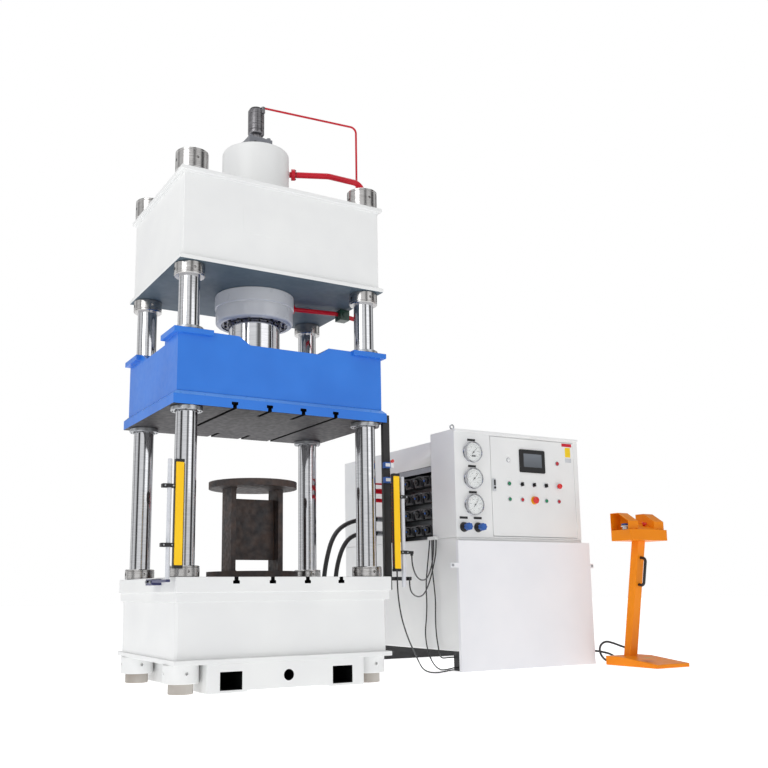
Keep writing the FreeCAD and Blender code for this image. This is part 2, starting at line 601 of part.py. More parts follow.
def build_stand():
    """A welded trial piece that stands on the table under the slide."""
    foot = rod("stand_foot", "stand_base_r", "0", "0", ("table_high", "stand_base_high"))
    head = rod("stand_head", "stand_r", "0", "0", ("stand_top_low", "stand_high"))
    legs = pair("stand_legs", block("stand_leg", ("stand_leg_in", "stand_leg_out"),
                                    ("-stand_leg_y", "stand_leg_y"), ("stand_base_high", "stand_top_low")))
    web = block("stand_web", ("-stand_leg_in", "stand_leg_in"), ("-stand_web_y", "stand_web_y"),
                ("stand_web_low", "stand_web_high"))
    node(fuse("test_stand", foot, head, legs, web))


# ---------------------------------------------------------------- switches and light curtains
def build_guards():
    bar = block("rail_bar", ("rail_left", "rail_right"), ("rail_front", "rail_back"),
                ("rail_low", "rail_high"))
    foot = block("rail_foot", ("table_x", "rail_left"), ("rail_front", "rail_back"),
                 ("rail_low + 5", "table_high - 8"))
    dogs = []
    for height in ("switch_low", "switch_high"):
        dogs.append(block(height + "_case", ("rail_left - 8", "rail_right + 8"),
                          ("switch_front", "rail_front"), (f"{height} - 20", f"{height} + 16")))
        dogs.append(rod(height + "_roller", "11", ("rail_right - 10", "rail_right + 18"),
                        "switch_front + 16", f"{height} + 27"))
    node(fuse("switch_rail", bar, foot, *dogs))

    depth = ("curtain_front", "curtain_back")
    left_bar = block("left_curtain", ("left_curtain_out", "left_curtain_in"), depth,
                     ("left_curtain_low", "left_curtain_high"))
    right_bar = block("right_curtain", ("right_curtain_in", "right_curtain_out"), depth,
                      ("right_curtain_low", "right_curtain_high"))
    node(group("light_curtains", left_bar, right_bar))

    reach = ("clamp_front", "clamp_back")
    left_post = rod("left_post", "12", "left_post_x", "post_y", ("arm_low + 4", "left_curtain_high - 1"))
    left_arm = block("left_arm", ("left_post_x - 12", "left_post_x + 12"),
                     ("post_y - 14", "-200"), ("arm_low - 4", "arm_low + 10"))
    left_plate = block("left_plate", ("left_post_x - 12", "-table_x"), ("-300", "-190"),
                       ("table_high - 42", "table_high - 8"))
    left_clamps = [block("left_" + height, ("left_post_x - 42", "left_curtain_out"), reach,
                         (f"{height} - clamp_half", f"{height} + clamp_half"))
                   for height in ("left_clamp_low", "clamp_high")]
    left = fuse("left_support", left_post, left_arm, left_plate, *left_clamps)
    right_post = rod("right_post", "13", "right_post_x", "post_y", ("556", "1232"))
    right_arm = block("right_arm", ("table_x", "826"), ("-524", "-506"), ("arm_low", "arm_high"))
    cable_tail = block("cable_tail", ("806", "826"), ("-540", "-506"), ("arm_low", "arm_high"))
    cable_boss = block("cable_boss", ("806", "846"), ("-538", "-522"),
                       ("cable_boss_low", "cable_boss_low + 18"))
    right_clamps = [block("right_" + height, ("right_curtain_out", "806"), reach,
                          (f"{height} - clamp_half", f"{height} + clamp_half"))
                    for height in ("right_clamp_low", "clamp_high")]
    right = fuse("right_support", right_post, right_arm, cable_tail, cable_boss, *right_clamps)
    node(group("curtain_posts", left, right))


# ---------------------------------------------------------------- power unit
def build_unit():
    node(block("tank", ("unit_left", "unit_right"), ("unit_front", "unit_back"),
               ("tank_low", "tank_high")))
    front = block("sill_front_bar", ("sill_left", "sill_right"), ("sill_front", "sill_front + sill_wide"),
                  ("0", "tank_low"))
    rear = block("sill_rear_bar", ("sill_left", "sill_right"), ("sill_rear", "sill_rear + sill_wide"),
                 ("0", "tank_low"))
    node(group("tank_base", front, rear))

    sheet = block("cover_sheet", ("cover_left", "cover_right"), ("cover_front", "cover_back"),
                  ("0", "cover_high"))
    left_lip = block("cover_lip_left", ("cover_left", "cover_left + cover_lip"),
                     ("cover_back", "unit_front"), ("0", "cover_high"))
    right_lip = block("cover_lip_right", ("cover_right - cover_lip", "cover_right"),
                      ("cover_back", "unit_front"), ("0", "cover_high"))
    ears, tabs = [], []
    for side, edge, low, high in (("left", "cover_left", "cover_left - ear_out", "cover_left"),
                                  ("right", "cover_right", "cover_right", "cover_right + 30")):
        ears.append(block("ear_" + side, (low, high), ("cover_front", "cover_back"),
                          ("ear_z - ear_half", "ear_z + ear_half")))
        tabs.append(block("tab_" + side, (f"{edge} + {10 if side == 'left' else -60}",
                                          f"{edge} + {60 if side == 'left' else -45}"),
                          ("cover_back", "unit_front"), ("ear_z", "ear_z + 20")))
    node(fuse("front_cover", sheet, left_lip, right_lip, *ears, *tabs))

    shell = block("cabinet_shell", ("unit_left", "unit_right"), ("unit_front", "cabinet_back"),
                  ("tank_high", "cabinet_high"))
    roof = block("cabinet_roof", ("unit_left", "unit_right"),
                 ("unit_front - roof_lip", "cabinet_back"), ("cabinet_high", "roof_high"))
    inside = block("cabinet_inside", ("door_left - door_gap", "door_right + door_gap"),
                   ("unit_front - 5", "unit_front + cabinet_deep"),
                   ("door_low - door_gap", "door_high + door_gap"))
    gland_bar = block("gland_bar", ("unit_left - gland_bar_wide", "unit_left"), ("0", "96"),
                      ("gland_bar_low", "gland_bar_high"))
    node(cut("cabinet", fuse("cabinet_whole", shell, roof, gland_bar), inside))

    bay_x = ("unit_left - 5", "bay_deep")
    housing = block("hood_housing", ("unit_left", "unit_right"), ("cabinet_back", "unit_back"),
                    ("tank_high", "hood_high"))
    bay = block("hood_bay", bay_x, ("cabinet_back - 5", "bay_back"), ("bay_low", "bay_high"))
    node(cut("valve_hood", housing, bay))


VALVE_ROWS, VALVE_COLUMNS = 4, 4


def build_valves():
    """Stacked directional valves on a drilled manifold in the open bay."""
    core = block("manifold_core", ("manifold_left", "bay_deep"), ("96", "bay_back - 20"),
                 ("bay_low", "bay_high - 40"))
    bridge = [block(f"manifold_bridge_{row}", ("valve_right", "manifold_left"), ("110", "610"),
                    (f"valve_low + valve_step * {row} + 4", f"valve_low + valve_step * {row} + 70"))
              for row in range(VALVE_ROWS)]
    node(fuse("valve_manifold", core, *bridge))
    stacks = []
    for row in range(VALVE_ROWS):
        for column in range(VALVE_COLUMNS):
            name = f"valve_{row}_{column}"
            front = f"valve_first + valve_pitch * {column}"
            low = f"valve_low + valve_step * {row}"
            case = block(name, ("valve_left", "valve_right"), (front, f"{front} + valve_wide"),
                         (low, f"{low} + valve_tall"))
            coil = rod(name + "_coil", "coil_r", ("coil_left", "valve_left"),
                       f"{front} + valve_wide / 2", f"{low} + valve_tall / 2 - 1")
            stacks.append(fuse(name + "_stack", case, coil))
    node(group("solenoid_valves", *stacks))


GAUGE_HEIGHTS = (1114, 1296, 1481)
KNOB_PLACES = {"pressure_knob_left": 1474, "pressure_knob_right": 1594}
PANEL_COLUMNS = (1884, 1998, 2110, 2223, 2343)
UPPER_ROW, LOWER_ROW, LAMP_ROW = 1278, 1167, 1447


def front_rod(name, radius, x, z, near, far):
    """A round piece on the panel, from near to far millimetres in front of it."""
    return rod(name, str(radius), str(x), (f"unit_front - ({far})", f"unit_front - ({near})"), str(z))


def build_panel():
    gauges = []
    for index, height in enumerate(GAUGE_HEIGHTS):
        name = "gauge_" + str(index)
        gauges.append(cut(name, front_rod(name + "_case", "gauge_r", "gauge_x", height, 0, "gauge_deep"),
                          front_rod(name + "_dial", "dial_r", "gauge_x", height, "dial_deep",
                                    "gauge_deep + 6")))
    node(group("gauges", *gauges))
    for name, place in KNOB_PLACES.items():
        skirt = front_rod(name + "_skirt", "skirt_r", place, "knob_z", 0.5, "grip_start")
        grip = front_rod(name + "_grip", "grip_r", place, "knob_z", "grip_start", "grip_end")
        node(fuse(name, skirt, grip))

    door_x = ("door_left", "door_right")
    leaf = block("door_leaf", door_x, ("unit_front", "unit_front + door_thick"),
                 ("door_low", "door_high"))
    fitted = [(PANEL_COLUMNS[index], UPPER_ROW) for index in (1, 2, 3, 4)]
    fitted += [(place, LOWER_ROW) for place in PANEL_COLUMNS]
    holes = [rod(f"door_hole_{x}_{z}", "button_hole_r", str(x), ("unit_front - 5", "unit_front + 25"), str(z))
             for x, z in fitted]
    pins = [rod("door_pin_" + place, "hinge_pin_r", "door_right", "unit_front",
                (low, f"{low} + hinge_pin_long"))
            for place, low in (("low", "door_low + 40"), ("high", "door_high - 120"))]
    node(cut("cabinet_door", fuse("door_whole", leaf, *pins), *holes))
    bezel = block("screen_bezel", ("screen_left", "screen_right"), ("unit_front - 10", "unit_front"),
                  ("screen_low", "screen_high"))
    glass = block("screen_glass", ("glass_left", "glass_right"), ("unit_front - 12", "unit_front - 8"),
                  ("glass_low", "glass_high"))
    node(cut("screen", bezel, glass))

    rings = []
    for x, z in fitted:
        name = f"bezel_{x}_{z}"
        wide = 30 if (x, z) == (PANEL_COLUMNS[2], LOWER_ROW) else 17
        rings.append(cut(name, front_rod(name + "_ring", wide, x, z, 0, 6),
                         front_rod(name + "_bore", "button_hole_r", x, z, -5, 10)))
    for x, z in ((PANEL_COLUMNS[0], UPPER_ROW), (PANEL_COLUMNS[0], LAMP_ROW), (PANEL_COLUMNS[4], LAMP_ROW)):
        rings.append(front_rod(f"lamp_{x}_{z}", 15, x, z, 0, 16))
    node(group("panel_bezels", *rings))

    for name, index, row in (("button_green_left", 0, LOWER_ROW), ("button_red_left", 1, LOWER_ROW),
                             ("button_green_right", 3, LOWER_ROW), ("button_red_right", 4, LOWER_ROW)):
        stem = front_rod(name + "_stem", "button_stem_r", PANEL_COLUMNS[index], row, -14, 13)
        node(stem, name)
    for name, index, row, head in (("button_mushroom", 4, UPPER_ROW, 20),
                                   ("emergency_stop", 2, LOWER_ROW, 26)):
        x = PANEL_COLUMNS[index]
        node(fuse(name, front_rod(name + "_stem", "button_stem_r", x, row, -14, 16),
                  front_rod(name + "_head", head, x, row, 16, 32)))
    for index, name in enumerate(("selector_left", "selector_middle", "selector_right"), start=1):
        x = PANEL_COLUMNS[index]
        grip = block(name + "_grip", (str(x - 4), str(x + 4)), ("unit_front - 26", "unit_front - 8"),
                     (str(UPPER_ROW - 14), str(UPPER_ROW + 14)))
        node(fuse(name, front_rod(name + "_stem", "button_stem_r", x, UPPER_ROW, -10, 8), grip))
    plate = block("lock_plate", ("lock_x - 12", "lock_x + 12"), ("unit_front - 12", "unit_front - 1"),
                  ("lock_z - 44", "lock_z + 44"))
    node(fuse("door_lock", plate, front_rod("lock_barrel", 9, "lock_x", "lock_z", 1, 18)))


# ---------------------------------------------------------------- two-hand console
PALM_PLACES = {"palm_button_left": 2620, "palm_button_right": 2890}


def build_console():
    stand = new_body("console_step")
    pad(stand, outline(stand, "YZ_Plane", [
        ("console_front", "0"), ("console_back", "0"), ("console_back", "console_step_back"),
        ("post_foot - 20", "console_step_back"), ("console_front", "console_step_front")],
        away="console_left"), "console_right - console_left", both_ways=False)
    post = new_body("console_post")
    pad(post, outline(post, "YZ_Plane", [
        ("post_foot", "console_step_back - 5"), ("post_foot + post_deep", "console_step_back - 5"),
        ("post_head + post_deep", "post_high"), ("post_head", "post_high")],
        away="post_left"), "post_right - post_left", both_ways=False)
    node(fuse("console_stand", stand, post))

    tray = new_body("console_tray")
    pad(tray, outline(tray, "YZ_Plane", [
        ("head_front", "head_low"), ("head_back", "head_low"), ("head_back", "head_slope_top"),
        ("head_slope_back", "head_slope_top"), ("head_front", "head_ledge")],
        away="head_left + hood_inner"), "head_right - head_left - 2 * hood_inner", both_ways=False)
    ledges = [block("ledge_" + side, limits, ("head_front", "head_back"), ("head_low", "head_ledge"))
              for side, limits in (("left", ("head_left", "head_left + hood_inner")),
                                   ("right", ("head_right - hood_inner", "head_right")))]
    hoods = []
    for side, outer, inner in (("left", "head_left", "head_left + hood_inner + 20"),
                               ("right", "head_right - hood_inner - 20", "head_right")):
        cap = new_body("hood_" + side)
        pad(cap, outline(cap, "YZ_Plane", [
            ("head_back", "head_ledge"), ("head_back", "hood_top"), ("hood_front_y", "hood_top"),
            ("hood_slope_y", "head_ledge + 60"), ("hood_slope_y", "head_ledge")],
            away=outer), f"({inner}) - ({outer})", both_ways=False)
        room = new_body("room_" + side)
        low = f"{outer} - 5" if side == "left" else f"{outer} + hood_wall"
        high = f"{inner} - hood_wall" if side == "left" else f"{inner} + 5"
        pad(room, outline(room, "YZ_Plane", [
            ("head_back - hood_wall", "head_ledge"), ("head_back - hood_wall", "hood_top - hood_wall"),
            ("hood_front_y + 2", "hood_top - hood_wall"), ("hood_slope_y + hood_wall", "head_ledge + 58"),
            ("hood_slope_y + hood_wall", "head_ledge")],
            away=low), f"({high}) - ({low})", both_ways=False)
        hoods.append((cap, room))
    solid = fuse("console_whole", tray, *ledges, *[cap for cap, room in hoods])
    rooms = [room for cap, room in hoods]
    wells = [rod(name + "_well", "palm_stem_r + 1", str(x), "palm_y", ("head_ledge - 24", "head_ledge + 5"))
             for name, x in PALM_PLACES.items()]
    node(cut("console_head", solid, *rooms, *wells, *console_button_bores()))

    for name, x in PALM_PLACES.items():
        stem = rod(name + "_stem", "palm_stem_r", str(x), "palm_y", ("head_ledge - 12", "head_ledge + 22"))
        cap = taper(name + "_cap", "31", "24", str(x), "palm_y", ("head_ledge + 22", "head_ledge + 46"))
        node(fuse(name, stem, cap))
    for name, x in (("console_selector", 2712), ("console_stop", 2790)):
        node(tilted_button(name, x, 11 if name == "console_selector" else 17))
    ends = [post_face(height, 0) for height in (560, 750)]
    tops = [post_face(height, 46) for height in (560, 750)]
    node(tube("console_handle", [ends[0], tops[0], tops[1], ends[1]], 20, bend=24))


def post_face(height, out):
    """A point out from the post's leaning front face, at right angles to it."""
    foot = number("console_step_back") - 5
    lean = (number("post_head") - number("post_foot")) / (number("post_high") - foot)
    outward = FreeCAD.Vector(0, -1, lean).normalize()
    face = FreeCAD.Vector(2755, number("post_foot") + lean * (height - foot), height)
    return tuple(face + outward * out)


def slope_frame():
    """Middle and outward normal of the console's sloping panel."""
    low = FreeCAD.Vector(0, number("head_front"), number("head_ledge"))
    high = FreeCAD.Vector(0, number("head_slope_back"), number("head_slope_top"))
    up = (high - low).normalize()
    return (low + high) / 2, FreeCAD.Vector(0, -up.z, up.y)


def on_slope(name, x, radius, near, far):
    middle, outward = slope_frame()
    made = doc.addObject("Part::Cylinder", name)
    made.Radius = radius
    made.Height = far - near
    made.Placement = FreeCAD.Placement(middle + FreeCAD.Vector(x, 0, 0) + outward * near,
                                       FreeCAD.Rotation(FreeCAD.Vector(0, 0, 1), outward))
    return made


def console_button_bores():
    return [on_slope("console_bore_" + str(x), x, 9, -24, 5) for x in (2712, 2790)]


def tilted_button(name, x, head):
    return fuse(name, on_slope(name + "_stem", x, 8.5, -16, 12), on_slope(name + "_head", x, head, 12, 26))


# ---------------------------------------------------------------- build, test, write
build_columns()
build_plinth()
build_bed()
build_crown()
build_cylinder()
build_prefill()
build_pipes()
build_ports()
build_slide()
build_stand()
build_guards()
build_unit()
build_valves()
build_panel()
build_console()
doc.recompute()

for made in doc.Objects:
    if "Invalid" in made.State or "Error" in made.State:
        raise RuntimeError(made.Name + " failed: " + str(made.State))
for name, made in nodes.items():
    if made.Shape.isNull() or not made.Shape.isValid():
        raise RuntimeError(name + " has no valid shape")
    if not made.Shape.Solids:
        raise RuntimeError(name + " holds no solid")

os.makedirs("parts", exist_ok=True)
for name, made in nodes.items():
    made.Shape.exportStep(f"parts/{name}.step")
print(len(nodes), "nodes")
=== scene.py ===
import json
import math

import bmesh
import bpy
from mathutils import Matrix, Vector

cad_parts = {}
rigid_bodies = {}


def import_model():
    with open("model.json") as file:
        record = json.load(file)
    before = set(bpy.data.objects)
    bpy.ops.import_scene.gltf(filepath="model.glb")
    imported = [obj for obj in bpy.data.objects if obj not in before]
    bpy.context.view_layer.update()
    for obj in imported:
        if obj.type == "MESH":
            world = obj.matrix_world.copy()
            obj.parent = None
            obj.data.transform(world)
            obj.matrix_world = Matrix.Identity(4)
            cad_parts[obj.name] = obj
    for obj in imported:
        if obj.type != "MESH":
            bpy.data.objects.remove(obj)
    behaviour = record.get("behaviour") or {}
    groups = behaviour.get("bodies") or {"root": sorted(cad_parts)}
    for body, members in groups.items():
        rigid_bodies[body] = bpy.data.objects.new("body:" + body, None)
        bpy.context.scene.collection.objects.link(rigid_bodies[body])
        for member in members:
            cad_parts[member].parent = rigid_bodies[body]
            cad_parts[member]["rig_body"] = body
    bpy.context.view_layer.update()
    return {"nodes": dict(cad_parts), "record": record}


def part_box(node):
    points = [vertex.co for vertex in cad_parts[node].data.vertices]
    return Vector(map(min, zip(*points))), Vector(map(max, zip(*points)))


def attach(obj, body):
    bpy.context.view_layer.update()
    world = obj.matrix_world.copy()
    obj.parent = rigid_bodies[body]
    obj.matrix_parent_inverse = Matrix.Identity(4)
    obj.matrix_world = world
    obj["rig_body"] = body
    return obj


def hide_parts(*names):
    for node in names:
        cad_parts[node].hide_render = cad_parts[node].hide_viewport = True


# The finish of a four-column hydraulic press, its power unit and its two-hand console.
# Shapes are written in millimetres in the frame of the CAD model and scaled once, when
# a piece is finished. +X runs to the power unit, -Y faces the operator, +Z is up.

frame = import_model()

MM = 0.001
UP = Vector((0, 0, 1))
FRONT = (0, -1, 0)
LEFT, RIGHT = (-1, 0, 0), (1, 0, 0)


def span(node):
    """Lowest and highest corner of a CAD node, in millimetres."""
    low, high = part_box(node)
    return low / MM, high / MM


def centre(node):
    """The middle of a CAD node, in millimetres."""
    low, high = span(node)
    return (low + high) / 2


def new_object(name, data):
    """An object with that data, in the scene."""
    made = bpy.data.objects.new(name, data)
    bpy.context.scene.collection.objects.link(made)
    return made


# ---------------------------------------------------------------- nodes and colours
def add(tree, kind, inputs=None, **settings):
    """Adds a node with its settings, and sets or links its inputs."""
    made = tree.nodes.new(kind)
    for name, value in settings.items():
        setattr(made, name, value)
    for socket, value in (inputs or {}).items():
        if isinstance(value, bpy.types.NodeSocket):
            tree.links.new(value, made.inputs[socket])
        else:
            made.inputs[socket].default_value = value
    return made


def srgb(text):
    """Linear RGBA of an sRGB hex value such as '#e9e9e9'."""
    parts = [int(text[start:start + 2], 16) / 255 for start in (1, 3, 5)]
    return tuple(part / 12.92 if part <= 0.04045 else ((part + 0.055) / 1.055) ** 2.4
                 for part in parts) + (1.0,)


def per_metre(size_mm):
    """The scale of a texture whose features are that many millimetres across."""
    return 1 / (size_mm * MM)


# ---------------------------------------------------------------- patterns
def new_finish(name, **sockets):
    """A material with one shader, whose constant sockets are set directly."""
    material = bpy.data.materials.new(name)
    material.use_nodes = True
    tree = material.node_tree
    tree.nodes.clear()
    shader = add(tree, "ShaderNodeBsdfPrincipled", sockets)
    add(tree, "ShaderNodeOutputMaterial", {"Surface": shader.outputs[0]})
    place = add(tree, "ShaderNodeTexCoord").outputs["Object"]
    return material, tree, shader, place


NOISE_LOW, NOISE_HIGH = 0.2, 0.8             # the range that the noise keeps to


def clouds(tree, place, size_mm, low, high, stretch=(1, 1, 1), detail=2.0):
    """A value that drifts between low and high over patches of that size."""
    laid = add(tree, "ShaderNodeMapping", {"Vector": place, "Scale": stretch})
    drift = add(tree, "ShaderNodeTexNoise",
                {"Vector": laid.outputs[0], "Scale": per_metre(size_mm), "Detail": detail})
    return add(tree, "ShaderNodeMapRange",
               {"Value": drift.outputs["Fac"], "From Min": NOISE_LOW, "From Max": NOISE_HIGH,
                "To Min": low, "To Max": high}, interpolation_type="SMOOTHSTEP").outputs[0]


COLOUR_A, COLOUR_B, COLOUR_OUT = 6, 7, 2     # sockets of a Mix node that mixes colours


def two_tone(tree, shader, share, first, second):
    """The base colour goes from first to second as share goes from 0 to 1."""
    tone = add(tree, "ShaderNodeMix", {"Factor": share}, data_type="RGBA")
    tone.inputs[COLOUR_A].default_value = srgb(first)
    tone.inputs[COLOUR_B].default_value = srgb(second)
    tree.links.new(tone.outputs[COLOUR_OUT], shader.inputs["Base Color"])


def raise_surface(tree, shader, layers):
    """Stacks height patterns, each given as (value, depth in millimetres, strength)."""
    normal = None
    for height, depth_mm, strength in layers:
        bump = add(tree, "ShaderNodeBump", {"Height": height, "Distance": depth_mm * MM,
                                            "Strength": strength})
        if normal:
            tree.links.new(normal, bump.inputs["Normal"])
        normal = bump.outputs[0]
    tree.links.new(normal, shader.inputs["Normal"])


# ---------------------------------------------------------------- finishes
def enamel(name, colour, shade, roughness=0.3, peel_mm=3.5, coat=0.35, wave=0.3, ior=1.5):
    """Sprayed enamel over filled steel plate: an even colour with a faint drift, fine
    orange peel in the gloss and a slow waviness of the plate under it."""
    material, tree, shader, place = new_finish(
        name, **{"IOR": ior, "Coat Weight": coat, "Coat Roughness": 0.12})
    two_tone(tree, shader, clouds(tree, place, 320, 0, 1), colour, shade)
    tree.links.new(clouds(tree, place, 45, roughness - 0.04, roughness + 0.06),
                   shader.inputs["Roughness"])
    raise_surface(tree, shader, [(clouds(tree, place, 240, 0, 1), 1.2, wave * 0.5),
                                 (clouds(tree, place, peel_mm, 0, 1), 0.02, 0.15)])
    return material


def ground_steel(name, colour, shade, roughness, across, line_mm=0.9, depth=0.02):
    """Steel finished by a wheel or a tool whose lines run round the piece: bright along
    them and spread across them. The lines are drawn coarser than real so that they show."""
    material, tree, shader, place = new_finish(name, Metallic=1.0)
    two_tone(tree, shader, clouds(tree, place, 90, 0, 1, across), colour, shade)
    tree.links.new(clouds(tree, place, 60, roughness - 0.03, roughness + 0.05, across),
                   shader.inputs["Roughness"])
    lines = clouds(tree, place, line_mm * 10, 0, 1,
                   tuple(10 if part > 1 else 0.4 for part in across))
    raise_surface(tree, shader, [(lines, depth, 0.35)])
    return material


def machined_plate(name, colour, shade, roughness, step_mm=24):
    """Plate planed on a mill: slightly wavy bands of fine cuts in the steel."""
    material, tree, shader, place = new_finish(name, Metallic=1.0)
    two_tone(tree, shader, clouds(tree, place, 130, 0, 1), colour, shade)
    tree.links.new(clouds(tree, place, 35, roughness - 0.05, roughness + 0.08),
                   shader.inputs["Roughness"])
    cuts = add(tree, "ShaderNodeTexWave", {"Vector": place, "Scale": per_metre(step_mm) / 6,
                                           "Distortion": 1.5, "Detail": 2.0},
               wave_type="BANDS", bands_direction="X")
    raise_surface(tree, shader, [(cuts.outputs["Fac"], 0.05, 0.3),
                                 (clouds(tree, place, 3, 0, 1), 0.03, 0.25)])
    return material


def mill_scale(name):
    """Hot-rolled plate as it leaves the mill: blue-black oxide with brown rust bloom,
    flaking in patches, dull where the rust is."""
    material, tree, shader, place = new_finish(name, **{"Metallic": 0.25, "IOR": 1.6})
    bloom = clouds(tree, place, 70, -0.1, 1.1, detail=6)
    two_tone(tree, shader, bloom, "#2b292b", "#4a3a33")
    tree.links.new(clouds(tree, place, 25, 0.45, 0.75), shader.inputs["Roughness"])
    raise_surface(tree, shader, [(clouds(tree, place, 40, 0, 1, detail=5), 0.5, 0.4),
                                 (clouds(tree, place, 4, 0, 1), 0.12, 0.4)])
    return material


def moulded(name, colour, shade, roughness=0.42, grain_mm=1.2, coat=0.0):
    """Injection-moulded plastic with a fine spark-eroded grain."""
    material, tree, shader, place = new_finish(name, **{"IOR": 1.46, "Coat Weight": coat})
    two_tone(tree, shader, clouds(tree, place, 60, 0, 1), colour, shade)
    tree.links.new(clouds(tree, place, 12, roughness - 0.05, roughness + 0.05),
                   shader.inputs["Roughness"])
    raise_surface(tree, shader, [(clouds(tree, place, grain_mm, 0, 1), 0.04, 0.3)])
    return material


def rubber(name, colour, shade, roughness, wrap_mm):
    """Extruded rubber or PVC: dull black with a faint cloth-wrap print and dust."""
    material, tree, shader, place = new_finish(name, **{"IOR": 1.5, "Sheen Weight": 0.08})
    two_tone(tree, shader, clouds(tree, place, 50, 0, 1), colour, shade)
    tree.links.new(clouds(tree, place, 15, roughness - 0.05, roughness + 0.08),
                   shader.inputs["Roughness"])
    raise_surface(tree, shader, [(clouds(tree, place, wrap_mm, 0, 1), 0.1, 0.3)])
    return material


def clear(name, colour, roughness):
    """A thin clear dial window: only its gloss is seen."""
    material, tree, shader, place = new_finish(
        name, **{"Base Color": srgb(colour), "IOR": 1.45, "Alpha": 0.12})
    tree.links.new(clouds(tree, place, 20, roughness, roughness + 0.03), shader.inputs["Roughness"])
    return material


def screen_face(name):
    """A dark display behind glass: a cool grey field, painted paler towards its top as a reflection
    on the glass.
    """
    material, tree, shader, place = new_finish(name, **{"IOR": 1.5, "Coat Weight": 0.8,
                                                        "Coat Roughness": 0.05})
    height = add(tree, "ShaderNodeSeparateXYZ", {"Vector": place}).outputs["Z"]
    low, high = span("screen")
    rise = add(tree, "ShaderNodeMapRange", {"Value": height, "From Min": low.z * MM,
                                            "From Max": high.z * MM}).outputs[0]
    # painted reflection: the grey grows paler with height
    two_tone(tree, shader, rise, "#3f454d", "#707780")
    tree.links.new(clouds(tree, place, 30, 0.12, 0.18), shader.inputs["Roughness"])
    return material


